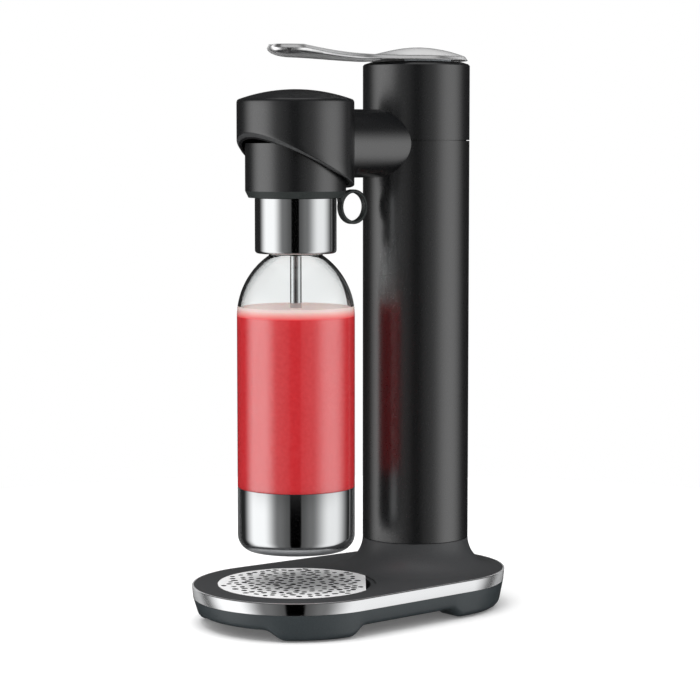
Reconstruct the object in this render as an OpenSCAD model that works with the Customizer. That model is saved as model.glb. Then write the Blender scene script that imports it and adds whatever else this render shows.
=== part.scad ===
// Sparkling water maker: a tower with a gas cylinder, a press lever on top, and an arm that
// carries the head, from which the bottle hangs over a drip tray.
// Millimetres. Origin on the floor under the middle of the base, +Z up, front towards -Y.

/* [Stance] */
// Distance from the tower's axis to the bottle's axis
throat = 114; // [108:0.5:130]
// Radius of the base's round front end, centred on the bottle's axis
base_front_r = 76.4; // [72:0.2:84]
// Radius of the base's round rear end
base_rear_r = 73; // [68:0.5:78]
// How far the rear end's centre lies ahead of the tower's axis
base_rear_lead = 6.6; // [3:0.2:7]
// Height of the deck above the floor
deck_h = 29; // [28:0.5:40]

/* [Base] */
// Height of the bright band around the deck
band_h = 8.9; // [6:0.1:9.5]
// How far the band leans in at its lower edge
band_lean = 0.9; // [0.4:0.1:1.2]
// Thickness of the band at its upper edge
band_t = 1.4; // [1.3:0.1:2]
// Height of the arches between the feet
arch_h = 8; // [6:0.5:9]
// Half width of the front and rear arches
arch_half = 49; // [40:0.5:50]
// Length of the side arches
side_arch = 106; // [90:1:112]
// Radius that rounds the skirt's lower edge at the feet
foot_round = 7; // [5:0.5:8]
// Radius that rounds the skirt's lower edge over the arches
skirt_round = 6; // [4:0.5:6.5]
// Lean of the skirt's face, from its top to where its lower edge starts to round
skirt_lean = 2.2; // [1:0.1:3]
// Wall of the skirt
skirt_wall = 3.2; // [2.4:0.1:4]
// Thickness of the bottom plate
plate_t = 2; // [1.5:0.1:2.5]
// Thickness of the rubber foot pads
pad_t = 1.6; // [1.2:0.1:2.2]
// How far the foot pads stand proud of the feet
pad_proud = 0.6; // [0.4:0.1:0.8]
// Radius of the base screws' shanks
base_screw_r = 1.5; // [1.2:0.1:1.8]

/* [Deck and drip tray] */
// Thickness of the deck
deck_t = 4; // [3.5:0.1:5]
// Radius of the sweep from the deck up into the tower
flare_r = 22.6; // [18:0.2:22.8]
// Radius of the recess that the drip tray sits in
recess_r = 58; // [52:0.1:62]
// Depth of the drip tray under its rim
tray_depth = 11; // [6:0.5:11.5]
// Wall of the drip tray
tray_wall = 1.5; // [1.2:0.1:2]
// Width of the rim that the drip tray hangs by
tray_rim = 2.2; // [1.8:0.1:4]
// Thickness of the drip grille
grille_t = 1; // [0.8:0.1:1.2]
// Width of the finger gap beside the grille's straight edge
finger_gap = 7.4; // [6:0.2:12]
// Turn of the grille's straight edge from the rear towards +X
grille_turn = 38.7; // [0:0.1:90]
// Radius of the larger drain holes
drain_r = 1.9; // [1.4:0.1:2.1]
// Distance between neighbouring drain holes
drain_pitch = 7.2; // [6.6:0.1:9]

/* [Tower] */
// Length of the tower's tube, from the neck of the deck to the upper seam
tube_h = 299.5; // [297:0.5:330]
// Outer radius of the tower
tower_r = 40; // [38.5:0.5:44]
// Wall of the tower's tube and head
tower_wall = 2.2; // [1.8:0.1:3]
// Height of the tower's head, from the upper seam to the mouth under the lever
tower_head_h = 58.2; // [57:0.2:64]
// Radius of the mouth under the lever
mouth_r = 34.5; // [33.5:0.5:36]
// Drop of the tower's crown from the mouth to the side wall
crown_drop = 2.6; // [2:0.1:4]
// Depth of the mouth under the lever
mouth_depth = 5.4; // [5:0.1:6]
// Half angle of the removable rear cover
cover_half = 58; // [45:1:62]
// Thickness of the support frame's uprights and plates
frame_t = 2.5; // [2:0.1:3]
// Width of the support frame's uprights
frame_w = 12; // [8:1:14]

/* [Gas] */
// Radius of the gas cylinder
cylinder_r = 30; // [28:0.5:30.5]
// Wall of the gas cylinder
cylinder_wall = 3; // [2.5:0.1:4]
// Length of the gas cylinder up to the top of its valve
cylinder_h = 362; // [356:1:364]
// Radius of the gas cylinder's neck
neck_r = 13; // [11:0.5:14]
// Radius of the threaded nose of the cylinder's valve
nose_r = 10; // [8:0.5:11]
// Length of the threaded nose
nose_h = 21; // [16:1:22]
// Radius of the valve block
block_r = 20; // [17:0.5:22]
// Radius of the push rod
rod_r = 2.5; // [2:0.1:3]
// Radius of the pin in the cylinder's valve
valve_pin_r = 1.5; // [1.2:0.1:1.8]
// Wire of the return spring
spring_wire = 0.9; // [0.7:0.1:1]
// Radius of the gas tube
gas_tube_r = 2.5; // [2:0.1:3]

/* [Lever] */
// Radius of the lever's round end over the tower
lever_r = 38.3; // [37:0.1:40]
// Distance from the tower's axis to the lever's tip
lever_reach = 135.5; // [130:0.5:150]
// Height of the dome on the lever's round end
lever_dome = 7; // [5:0.1:9]
// Depth of the lever's rounded underside ahead of the tower, under its edge
lever_belly = 3.4; // [3:0.1:4.6]
// Half width of the lever's narrow part
lever_waist = 13.2; // [11:0.2:16]
// Half width of the lever's paddle
paddle_half = 17; // [14:0.5:20]
// Rise of the lever's edge from its round end to its paddle
lever_rise = 5.8; // [4:0.1:8]
// Depth of the scoop in the paddle
scoop = 1.5; // [0.5:0.1:2.5]
// Distance of the lever's pivot behind the tower's axis
pivot_back = 24; // [20:0.5:26]
// Radius of the lever's pivot pin
lever_pin_r = 1.5; // [1.2:0.1:1.7]

/* [Arm and head] */
// Height of the arm's section
arm_h = 50; // [44:0.5:54]
// Width of the arm's section
arm_w = 56; // [50:0.5:60]
// How far the arm's axis lies under the tower's upper seam
arm_drop = 2.1; // [0:0.1:4]
// Wall of the arm
arm_wall = 2.5; // [2:0.1:3]
// Outer radius of the head's shell
shell_r = 42.35; // [41.5:0.05:44]
// Wall of the head's shell
shell_wall = 3.9; // [3:0.1:4]
// Height of the shell's shoulder above the arm's axis
shoulder_up = 31.9; // [31:0.1:36]
// Height of the shell's domed top above its shoulder
crown_h = 6.8; // [6:0.1:10]
// Radius that rounds the shell's shoulder
shoulder_round = 2.8; // [1:0.1:3]
// Front of the shell's slanted lip above the arm's axis
lip_front = 5; // [3:0.1:7]
// Middle of the shell's slanted lip under the arm's axis
lip_mid = 18; // [16:0.1:19]
// Rear of the shell's slanted lip under the arm's axis
lip_rear = 32.4; // [31:0.1:33]
// Height of the bottle's tilt pivot above the arm's axis
tilt_up = 7; // [6.5:0.1:8]
// Radius of the tilt pins
tilt_pin_r = 2; // [1.6:0.1:2.2]

/* [Cap] */
// Outer radius of the cap
cap_r = 36.4; // [35.4:0.1:36.8]
// Height of the cap's side
cap_h = 34.1; // [30:0.1:34.4]
// Wall of the cap
cap_wall = 2.4; // [2:0.1:3]
// Height of the bevelled rim under the cap
rim_h = 4.8; // [4:0.1:6]
// How far the rim's bevel leans in
rim_lean = 2.4; // [1.5:0.1:3]
// Outer radius of the bright collar
collar_r = 29.5; // [28:0.1:31]
// Height of the bright collar
collar_h = 39.5; // [34:0.5:40]
// Wall of the bright collar
collar_wall = 1.2; // [1:0.1:1.6]
// Radius that rounds the collar's lower edge
collar_round = 2.4; // [1.2:0.1:3]
// Outer radius of the pull ring
ring_r = 12.75; // [11.5:0.05:13]
// Radius of the pull ring's finger hole
ring_bore = 10.2; // [9:0.1:10.6]
// Width of the pull ring
ring_w = 5.4; // [4:0.1:7]
// Distance of the pull ring's middle behind the bottle's axis
ring_back = 52.6; // [52:0.1:55]
// Outer radius of the infusion tube
infuser_r = 4.15; // [3:0.05:4.5]
// Wall of the infusion tube
infuser_wall = 0.8; // [0.5:0.1:1]
// Length of the infusion tube under the cap's rim
infuser_l = 150; // [110:1:190]

/* [Bottle] */
// Outer radius of the bottle
bottle_r = 42.7; // [41:0.1:44]
// Height of the bottle from its foot to its mouth
bottle_h = 246; // [240:0.5:252]
// Wall of the bottle
bottle_wall = 2.2; // [1.8:0.1:2.8]
// Radius of the bottle's neck
bottle_neck_r = 19.5; // [18:0.1:20.5]
// Length of the bottle's neck
bottle_neck_h = 32; // [28:0.5:34]
// Radius of the shoulder's sweep, seen from the side
shoulder_sweep = 54; // [50:0.5:60]
// Height of the steel cup on the bottle's foot
cup_h = 46.3; // [30:0.1:60]
// Wall of the steel cup
cup_wall = 1; // [0.8:0.1:1.2]
// Radius that rounds the foot
foot_corner = 12; // [8:0.5:14]
// Height of the drink's surface above the bottle's foot
fill_h = 177.5; // [120:0.1:178]
// Depth of the foam on the drink
foam_h = 7.5; // [3:0.5:10]

/* [Clearances] */
// Gap at the tower's seams
seam = 0.5; // [0.3:0.1:0.6]
// Gap between pieces that are seated on each other
seat = 0.1; // [0.05:0.05:0.2]
// Gap between pieces that move past each other
play = 0.4; // [0.3:0.05:0.5]
// Running gap of a pin or rod in its bore
run = 0.05; // [0.02:0.01:0.08]

/* [Hidden] */
$fn = 96;
// Overlap that joins the parts of one solid
hair = 0.01;
tower_y = (throat + base_front_r - base_rear_r + base_rear_lead) / 2;
bottle_y = tower_y - throat;
rear_y = tower_y - base_rear_lead;
lean_angle = asin((base_front_r - base_rear_r) / (rear_y - bottle_y));

// Base
skirt_top = deck_h - band_h;
ledge_low = arch_h + plate_t;
ledge_t = 4;
ledge_in = 20;
plate_in = 11;
foot_depth = 16;
deck_in = band_t + seat;
deck_low = deck_h - deck_t;
arch_ahead = 4.7;
side_arch_y = (bottle_y + rear_y) / 2 - arch_ahead;
screw_in = 15.5;
screw_head = 1.2;

// Drip tray
tray_rim_t = 1;
tray_seat = deck_h - grille_t - tray_rim_t;
tray_r = recess_r - tray_rim;
grille_r = recess_r - play - seat;
grille_flat = recess_r - finger_gap;
drain_rings = floor((grille_r - 4) / drain_pitch);

// Tower
tower_in = tower_r - tower_wall;
neck_z = deck_h + flare_r;
seam_z = neck_z + tube_h;
mouth_z = seam_z + tower_head_h;
shelf_z = mouth_z - mouth_depth;
shelf_t = 2.5;
spigot_h = 8;
spigot_t = 2.2;
upright_x = cylinder_r + 1.5;
frame_r = upright_x + frame_t;

// Column of head, cap and bottle, from the arm down
neck_room = 9;
rim_seat = 0.5;
carrier_gap = 1;
carrier_drop = 6;
arm_z = seam_z - arm_drop;
tilt_z = arm_z + tilt_up;
carrier_low = tilt_z - carrier_drop;
cap_top = carrier_low - carrier_gap;
cap_low = cap_top - cap_h;
rim_low = cap_low - rim_h;
collar_top = rim_low - rim_seat;
collar_low = collar_top - collar_h;
mouth_top = collar_top - neck_room;
foot_z = mouth_top - bottle_h;

// Gas
cylinder_z = ledge_low + frame_t + play;
valve_top = cylinder_z + cylinder_h;
block_z = valve_top - nose_h - 1;
block_h = 38;
block_top = block_z + block_h;
body_top = block_z - frame_t - 65;
valve_r = neck_r + 1;
neck_top = block_z - frame_t - 25;
neck_bore = 6;
base_step = cylinder_wall / 2;
rod_top = mouth_z - 3.3;
rod_low = valve_top + 2;
rod_collar_r = 6;
rod_collar_t = 2.5;
rod_collar_z = shelf_z - shelf_t - 1.5 - rod_collar_t;
post_x = 14;
post_y = 6;
port_z = block_top - 8;
port_in = 8;
relief_r = 3;
screw_bite = 11;
tube_run_z = arm_z + 7;
tube_in = 8;
tube_drop_y = (tower_in + block_r) / 2;

// Lever, measured from the tower's axis, with forward positive
edge_up = 2.7;
edge_z = mouth_z + edge_up;
rim_half = 1.5;
brim_z = edge_z - rim_half;
waist_y = 62;
join_y = 24;
crest_y = 50;
paddle_end = 18.5;
paddle_y = lever_reach - paddle_end;
lever_swing = 2.5;
hollow_gap = 1.3;
hollow_z = mouth_z + (pivot_back + mouth_r) * sin(lever_swing) + hollow_gap;
blade_low = edge_z - lever_belly;
paddle_low = blade_low + 1.6;
pin_z = mouth_z - 2.4;
hub_w = 15;
hub_top = edge_z + 3;
hub_low = mouth_z - 0.8;
lug_t = 3;

// Head
shell_in = shell_r - shell_wall;
shoulder_z = arm_z + shoulder_up;
lip_z = [arm_z + lip_front, arm_z - lip_mid, arm_z - lip_rear];
lip_a = (lip_z[0] + lip_z[2] - 2 * lip_z[1]) / (2 * shell_r * shell_r);
lip_b = (lip_z[2] - lip_z[0]) / (2 * shell_r);
lip_r = pow(1 + lip_b * lip_b, 1.5) / (2 * lip_a);
lip_cy = -lip_b / (2 * lip_a) * (1 + lip_b * lip_b);
lip_cz = lip_z[1] + (1 + lip_b * lip_b) / (2 * lip_a);
core_low = tilt_z + 8;
core_h = 12;
core_r = shell_in - seat;
cheek_x = 22;
cheek_t = 6;
carrier_r = 20;
carrier_top = tilt_z + 4;
socket_r = 7;

// Cap
nozzle_h = 5;
pin_back = cap_r + 1.6;
ring_pin_r = 1;
ring_pin_z = cap_low - 2.6;
ring_z = rim_low - 7.4;
knuckle_r = 2.4;
vent_z = cap_low + 6;
vent_r = 1.5;
vent_proud = 0.4;
vent_in = 12;

// Bottle
cup_top = foot_z + cup_h;
neck_low = mouth_top - bottle_neck_h;
sweep_x = bottle_r - shoulder_sweep;
sweep_drop = sqrt(pow(shoulder_sweep, 2) - pow(bottle_neck_r - sweep_x, 2));
shoulder_low = neck_low - sweep_drop;
fill_z = foot_z + fill_h;
infuser_low = rim_low - infuser_l;

function ease(t) = t * t * (3 - 2 * t);
function mix(a, b, t) = a + (b - a) * ease(min(1, max(0, t)));

module at_tower() { translate([0, tower_y, 0]) children(); }
module at_bottle() { translate([0, bottle_y, 0]) children(); }
module along_x() { rotate([90, 0, 90]) children(); }
module along_y() { rotate([-90, 0, 0]) children(); }

// A tube or ring standing on the height z
module pipe(r_out, r_in, z, h) {
    translate([0, 0, z]) difference() {
        cylinder(r = r_out, h = h);
        translate([0, 0, -1]) cylinder(r = r_in, h = h + 2);
    }
}

// A round bar standing on the height z
module bar(r, z, h) { translate([0, 0, z]) cylinder(r = r, h = h); }

// The base's outline, drawn in by a margin: two rounds and their common tangents
module outline(inset) {
    rf = base_front_r - inset;
    rr = base_rear_r - inset;
    translate([0, bottle_y]) circle(rf);
    translate([0, rear_y]) circle(rr);
    polygon([for (side = [1, -1], end = [side, -side])
        let (r = end > 0 ? rf : rr, y = end > 0 ? bottle_y : rear_y)
        [side * r * cos(lean_angle), y + r * sin(lean_angle)]]);
}

// A slab of the base's outline, from one height up to another
module slab(inset, low, high) { translate([0, 0, low]) linear_extrude(high - low) outline(inset); }

// A solid whose outline draws in step by step: each level is [height, inset]
module tapered(levels) {
    hull() for (level = levels) {
        translate([0, bottle_y, level[0]]) cylinder(r = base_front_r - level[1], h = hair);
        translate([0, rear_y, level[0]]) cylinder(r = base_rear_r - level[1], h = hair);
    }
}

// Levels of the skirt's face, with its lower edge rounded at the height low
function skirt_levels(low, round) = concat(
    [[skirt_top - hair, band_lean]],
    [for (a = [0 : 22.5 : 90])
        [low + round * (1 - sin(a)), band_lean + skirt_lean + round * (1 - cos(a))]]);

// Plan of the four corners where the feet stand
module foot_corners(grow = 0) {
    far = base_front_r + base_rear_r + throat;
    for (side = [1, -1], end = [1, -1])
        scale([side, 1]) translate([arch_half - grow, side_arch_y + end * side_arch / 2])
            mirror([0, end > 0 ? 0 : 1]) translate([0, -grow]) square(far);
}

// Half width of the base's outline between its two rounds, drawn in by a margin
function half_width(y, inset) =
    (base_front_r - inset - (y - bottle_y) * sin(lean_angle)) / cos(lean_angle);

// Where the base screws stand: around the skirt's ledge, between the feet
end_turn = 25;
side_step = 35;
screw_spots = [for (side = [1, -1], spot = [
    [(base_front_r - screw_in) * sin(end_turn), bottle_y - (base_front_r - screw_in) * cos(end_turn)],
    [half_width(side_arch_y - side_step, screw_in), side_arch_y - side_step],
    [half_width(side_arch_y + side_step, screw_in), side_arch_y + side_step],
    [(base_rear_r - screw_in) * sin(end_turn), rear_y + (base_rear_r - screw_in) * cos(end_turn)]
]) [side * spot[0], spot[1]]];

// Where the arm is screwed to the tower
arm_screw_x = 16;
arm_screw_z = 12;
arm_screw_r = 1.6;
arm_saddle = 5;

// Room that the arches leave between the feet
module arch_cut() {
    far = base_front_r + base_rear_r + throat;
    along_x() translate([side_arch_y, 0, -far]) linear_extrude(2 * far) arch_profile(side_arch / 2);
    translate([0, -far, 0]) along_y() scale([1, -1, 1])
        linear_extrude(2 * far) arch_profile(arch_half);
}

// Section of an arch: flat roof, ends rounded by its height
module arch_profile(half) {
    translate([-half + arch_h, -1]) square([2 * (half - arch_h), arch_h + 1]);
    for (side = [1, -1]) translate([side * (half - arch_h), 0]) circle(arch_h);
}

module base_skirt() {
    color("#3d4245") difference() {
        union() {
            tapered(skirt_levels(arch_h, skirt_round));
            difference() {
                intersection() {
                    tapered(skirt_levels(pad_proud, foot_round));
                    linear_extrude(skirt_top - hair) foot_corners();
                }
                arch_cut();
            }
        }
        slab(band_lean + skirt_lean + skirt_wall, ledge_low + ledge_t, deck_h);
        slab(ledge_in, ledge_low, deck_h);
        translate([0, 0, arch_h - 1]) linear_extrude(plate_t + 1) difference() {
            outline(plate_in);
            foot_corners(seat);
        }
        translate([0, 0, -1]) linear_extrude(pad_t + 1) pad_plan(0);
        for (p = screw_spots) translate(p) bar(base_screw_r - seat, arch_h, plate_t + ledge_t - 1);
    }
}

// Plan of the rubber pads under the feet, drawn in by a margin
module pad_plan(inset) {
    difference() {
        outline(plate_in + 2.5 + inset);
        outline(plate_in + foot_depth - 2.5 - inset);
        square([2 * (arch_half + 4 + inset), 2 * (throat + base_front_r)], center = true);
        translate([0, side_arch_y])
            square([2 * base_front_r, side_arch + 2 * (4 + inset)], center = true);
    }
}

module rubber_feet() { color("#18191a") linear_extrude(pad_t) pad_plan(seat); }

module base_plate() {
    color("#2a2c2e") translate([0, 0, arch_h]) linear_extrude(plate_t) difference() {
        outline(plate_in + seat);
        foot_corners(2 * seat);
        for (p = screw_spots) translate(p) circle(base_screw_r + seat);
    }
}

module base_screws() {
    color("silver") for (p = screw_spots) translate(p) {
        bar(base_screw_r - seat, arch_h, plate_t + ledge_t - 1.5);
        bar(2 * base_screw_r, arch_h - screw_head, screw_head);
    }
}

module chrome_band() {
    color("#dfe2e4") difference() {
        tapered([[skirt_top, band_lean], [deck_h - hair, 0]]);
        tapered([[skirt_top - 1, band_t], [deck_h + 1, band_t]]);
    }
}

module base_deck() {
    ring_in = deck_in + 2.5;
    color("#2b2c2e") difference() {
        union() {
            slab(deck_in, deck_low, deck_h);
            difference() {
                slab(deck_in, skirt_top, deck_h - 1);
                slab(ring_in, skirt_top - 1, deck_h);
            }
            at_tower() translate([0, 0, deck_low]) rotate_extrude() difference() {
                translate([tower_in, 0]) square([tower_wall + flare_r, neck_z - deck_low]);
                translate([tower_r + flare_r, neck_z - deck_low]) circle(flare_r);
            }
            at_tower() pipe(tower_in - seat, tower_in - spigot_t, deck_low, neck_z - deck_low + spigot_h);
            at_tower() pipe(tower_in + hair, tower_in - spigot_t, deck_low, neck_z - deck_low);
        }
        at_tower() bar(tower_in - spigot_t, skirt_top - 1, neck_z);
        at_bottle() bar(recess_r, tray_seat, neck_z);
        at_bottle() bar(tray_r + play, skirt_top - 1, neck_z);
    }
}

module drip_tray() {
    floor_z = tray_seat - tray_depth;
    color("#222325") at_bottle() difference() {
        union() {
            bar(recess_r - play, tray_seat, tray_rim_t);
            bar(tray_r, floor_z, tray_depth + tray_rim_t);
        }
        bar(tray_r - tray_wall, floor_z + tray_wall, tray_depth + tray_rim_t);
    }
}

// Drain holes in rings, each turned against the last and of three sizes
module drip_grille() {
    color("#e6e7e8") at_bottle() translate([0, 0, deck_h - grille_t])
        linear_extrude(grille_t) rotate(-grille_turn) difference() {
            intersection() {
                circle(grille_r);
                translate([-grille_r, -grille_r]) square([2 * grille_r, grille_r + grille_flat]);
            }
            circle(drain_r);
            for (ring = [1 : drain_rings], k = [0 : 6 * ring - 1]) {
                turn = 360 * k / (6 * ring) + 47 * ring;
                r = ring * drain_pitch + 0.5 * sin(5 * turn + 90 * ring);
                size = drain_r * [1, 0.72, 0.86][(k + ring) % 3];
                if (r * cos(turn) < grille_flat - 3) translate([r * sin(turn), r * cos(turn)]) circle(size);
            }
        }
}

// Wedge around +Y that the rear cover fills, widened by a gap at its edges
module cover_wedge(low, high, gap) {
    reach = 2 * tower_r;
    at_tower() translate([0, 0, low]) linear_extrude(high - low)
        polygon([[0, gap / sin(cover_half)], for (side = [1, -1]) [
            side * reach * sin(cover_half), gap / sin(cover_half) + reach * cos(cover_half)]]);
}

// Holes along the arm's axis for its screws, and the hole for the gas tube
module arm_holes(r, from, to) {
    for (side = [1, -1], up = [1, -1])
        translate([side * arm_screw_x, tower_y - to, arm_z + up * arm_screw_z])
            along_y() cylinder(r = r, h = to - from);
}

module tube_hole(r, from, to) {
    translate([0, from, tube_run_z]) along_y() cylinder(r = r, h = to - from);
}

module tower_tube() {
    color("#1f2021") difference() {
        at_tower() pipe(tower_r, tower_in, neck_z + seam, tube_h - seam);
        cover_wedge(neck_z, seam_z + 1, 0);
        arm_holes(arm_screw_r + seat, 0, tower_r + 1);
    }
}

module rear_cover() {
    color("#1f2021") intersection() {
        at_tower() pipe(tower_r, tower_in, neck_z + seam, tube_h - seam);
        cover_wedge(neck_z, seam_z + 1, play);
    }
}

module tower_head() {
    low = seam_z + seam;
    color("#1f2021") difference() {
        at_tower() union() {
            rotate_extrude() polygon([
                [rod_r + 2, shelf_z - shelf_t], [tower_in, shelf_z - shelf_t], [tower_in, low],
                [tower_r, low], [tower_r, mouth_z - crown_drop], [tower_r - 1.1, mouth_z - crown_drop + 1.2],
                [mouth_r, mouth_z], [mouth_r, shelf_z], [rod_r + 2, shelf_z]]);
            pipe(tower_in + hair, tower_in - spigot_t, low, spigot_h);
            pipe(tower_in - seat, tower_in - spigot_t, seam_z - spigot_h, 2 * spigot_h);
        }
        arm_holes(arm_screw_r + seat, 0, tower_r + 1);
        tube_hole(gas_tube_r + 1, tower_y - tower_r - 1, tower_y);
        at_tower() for (side = [1, -1]) translate([side * post_x, -post_y, 0])
            bar(base_screw_r + seat, shelf_z - shelf_t - 1, shelf_t + 2);
    }
}

module support_frame() {
    color("#8d9194") at_tower() {
        bar(frame_r, ledge_low, frame_t);
        difference() {
            bar(frame_r, block_z - frame_t, frame_t);
            bar(valve_r + 1, block_z - frame_t - 1, frame_t + 2);
        }
        for (side = [1, -1])
            translate([side * (upright_x + frame_t / 2) - frame_t / 2, -frame_w / 2, ledge_low])
                cube([frame_t, frame_w, block_z - ledge_low]);
    }
}

// Section of the gas cylinder's body and domed shoulder, drawn in by a margin
module cylinder_section(inset) {
    dome_r = cylinder_r - neck_r - inset;
    translate([0, cylinder_z + 2 * inset])
        square([cylinder_r - inset, body_top - cylinder_z - 2 * inset]);
    intersection() {
        translate([0, body_top - hair]) square([cylinder_r, dome_r + hair]);
        union() {
            translate([neck_r, body_top]) circle(dome_r);
            translate([0, body_top - hair]) square([neck_r, dome_r + hair]);
        }
    }
}

module gas_cylinder() {
    color("#b9bdc0") at_tower() rotate_extrude() difference() {
        union() {
            cylinder_section(0);
            translate([0, body_top]) square([neck_r, neck_top - body_top]);
        }
        cylinder_section(cylinder_wall);
        translate([0, body_top]) square([neck_bore, neck_top - body_top + 1]);
        translate([cylinder_r - base_step, cylinder_z - 1]) square([base_step + 1, 4]);
    }
}

module cylinder_valve() {
    color("#c9a44a") at_tower() difference() {
        union() {
            bar(valve_r, neck_top, block_z - neck_top - rim_seat);
            bar(nose_r, neck_top, valve_top - neck_top);
        }
        bar(valve_pin_r + run, valve_top - 12, 13);
    }
}

module valve_pin() {
    color("#d8d8d8") at_tower() bar(valve_pin_r, valve_top - 10, 10 + rod_low - valve_top);
}

module valve_block() {
    socket_top = valve_top + 1.6;
    color("#a9adb0") at_tower() difference() {
        union() {
            bar(block_r, block_z, block_h);
            for (side = [1, -1]) translate([side * post_x, -post_y, 0])
                bar(base_screw_r + 2, block_top - 1, shelf_z - shelf_t - block_top + 1);
        }
        bar(nose_r + play, block_z - 1, socket_top - block_z + 1);
        bar(rod_r + run, block_z, block_h + 1);
        translate([0, 0, port_z]) along_y() translate([0, 0, -block_r - 1])
            cylinder(r = gas_tube_r + seat, h = port_in + 1);
        translate([0, block_r - port_in, port_z]) along_y()
            cylinder(r = relief_r + seat, h = port_in + 1);
        for (side = [1, -1]) translate([side * post_x, -post_y, 0])
            bar(base_screw_r + seat, shelf_z - screw_bite - 1, screw_bite + 1);
    }
}

module valve_seal() {
    color("#202020") at_tower() pipe(nose_r - seat, valve_pin_r + rod_r, valve_top + seat, 1.3);
}

module push_rod() {
    color("#cfd3d6") at_tower() {
        bar(rod_r, rod_low, rod_top - rod_low);
        bar(rod_collar_r, rod_collar_z, rod_collar_t);
    }
}

// Points of a spring's wire: rings of six points around a helix between two heights
function coil_points(r, wire, turns, low, high) =
    [for (i = [0 : 8 * turns]) let (t = i / (8 * turns), a = 360 * turns * t) for (k = [0 : 5])
        [(r + wire / 2 * cos(60 * k)) * cos(a), (r + wire / 2 * cos(60 * k)) * sin(a),
         low + (high - low) * t + wire / 2 * sin(60 * k)]];

function coil_faces(n) = concat(
    [[for (k = [0 : 5]) k]],
    [for (i = [0 : n - 1], k = [0 : 5]) each let (a = 6 * i + k, b = 6 * i + (k + 1) % 6)
        [[a, a + 6, b + 6], [a, b + 6, b]]],
    [[for (k = [5 : -1 : 0]) 6 * n + k]]);

module coil(r, wire, turns, low, high) {
    polyhedron(coil_points(r, wire, turns, low + wire / 2, high - wire / 2), coil_faces(8 * turns));
}

module return_spring() {
    color("#9a9ea2") at_tower()
        coil(rod_r + 1.8, spring_wire, 3, block_top + seat, rod_collar_z - seat);
}

module relief_valve() {
    color("#c9a44a") translate([0, tower_y + block_r - port_in, port_z]) along_y() {
        cylinder(r = relief_r, h = port_in);
        translate([0, 0, port_in]) cylinder(r = 1.5 * relief_r, h = 7);
        translate([0, 0, port_in + 7]) cylinder(r = 2, h = 1.2);
    }
}

// The gas tube: out of the valve block, down beside it and along the arm into the head
module gas_tube() {
    drop_y = tower_y - tube_drop_y;
    color("#c58a52") {
        translate([0, drop_y, port_z]) along_y() cylinder(r = gas_tube_r, h = tube_drop_y - block_r + 7);
        translate([0, drop_y, port_z]) sphere(gas_tube_r);
        translate([0, drop_y, tube_run_z]) cylinder(r = gas_tube_r, h = port_z - tube_run_z);
        translate([0, drop_y, tube_run_z]) sphere(gas_tube_r);
        tube_hole(gas_tube_r, bottle_y + core_r - tube_in, drop_y);
    }
}

module tower_screws() {
    color("silver") at_tower() for (side = [1, -1]) translate([side * post_x, -post_y, 0]) {
        bar(base_screw_r, shelf_z - screw_bite, screw_bite);
        bar(2 * base_screw_r, shelf_z, 1.6);
    }
}

// The lever along its length: f runs forward from the tower's axis
function lever_half(f) =
    f < join_y ? sqrt(max(0, lever_r * lever_r - f * f)) :
    f < waist_y ? hermite(f, join_y, waist_y, sqrt(lever_r * lever_r - join_y * join_y), lever_waist,
        -join_y / sqrt(lever_r * lever_r - join_y * join_y), -0.06) :
    f < paddle_y ? hermite(f, waist_y, paddle_y, lever_waist, paddle_half, -0.06, 0) :
    paddle_half * sqrt(max(0, 1 - pow((f - paddle_y) / paddle_end, 2)));

// A curve between two points with given slopes
function hermite(x, x0, x1, y0, y1, s0, s1) = let (w = x1 - x0, t = (x - x0) / w)
    y0 * (1 - ease(t)) + y1 * ease(t) + w * t * (1 - t) * (s0 * (1 - t) - s1 * t);

function lever_edge(f) = edge_z + lever_rise * pow(min(1, max(0, f / paddle_y)), 3);
function lever_top(f) =
    f < 0 ? edge_z + lever_dome * (1 - pow(f / lever_r, 2)) :
    f < crest_y ? mix(edge_z + lever_dome, edge_z, f / crest_y) :
    f < paddle_y ? mix(edge_z, lever_edge(paddle_y) - scoop, (f - crest_y) / (paddle_y - crest_y)) :
    mix(lever_edge(paddle_y) - scoop, lever_edge(paddle_y), (f - paddle_y) / paddle_end);
function lever_low(f) =
    f < 0 ? brim_z + (hollow_z - brim_z) * sqrt(max(0, 1 - pow(f / lever_r, 2))) :
    f < mouth_r ? hollow_z :
    f < crest_y ? mix(hollow_z, blade_low, (f - mouth_r) / (crest_y - mouth_r)) :
    f < paddle_y ? mix(blade_low, paddle_low, (f - crest_y) / (paddle_y - crest_y)) :
    lever_edge(f) - rim_half - (lever_edge(f) - rim_half - paddle_low)
        * sqrt(max(0, 1 - pow((f - paddle_y) / paddle_end, 2)));

// One section of the lever, from edge to edge over the top and back along the underside
lever_steps = 10;
function lever_section(f) = let (w = max(rim_half, lever_half(f)), e = lever_edge(f)) concat(
    [for (i = [0 : lever_steps]) let (u = -cos(180 * i / lever_steps))
        [w * u, -f, e + rim_half + (lever_top(f) - e) * (1 - u * u)]],
    [for (i = [0 : lever_steps]) let (u = cos(180 * i / lever_steps))
        [w * u, -f, e - rim_half + (lever_low(f) - e + rim_half) * sqrt(max(0, 1 - u * u))]]);

lever_stations = concat(
    [for (i = [0 : 9]) -lever_r * cos(9 * i)],
    [for (f = [0 : 5 : paddle_y - 1]) f],
    [for (i = [0 : 8]) paddle_y + paddle_end * sin(11.25 * i)]);

// Strips that close the ring of points starting at a, turned over for the rear end
function end_strips(a, m, turn) = [for (i = [0 : lever_steps - 1])
    let (p = a + i, q = a + m - 1 - i, quad = [[p, p + 1, q - 1], [p, q - 1, q]])
    each [for (t = quad) turn ? [t[2], t[1], t[0]] : t]];

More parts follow.
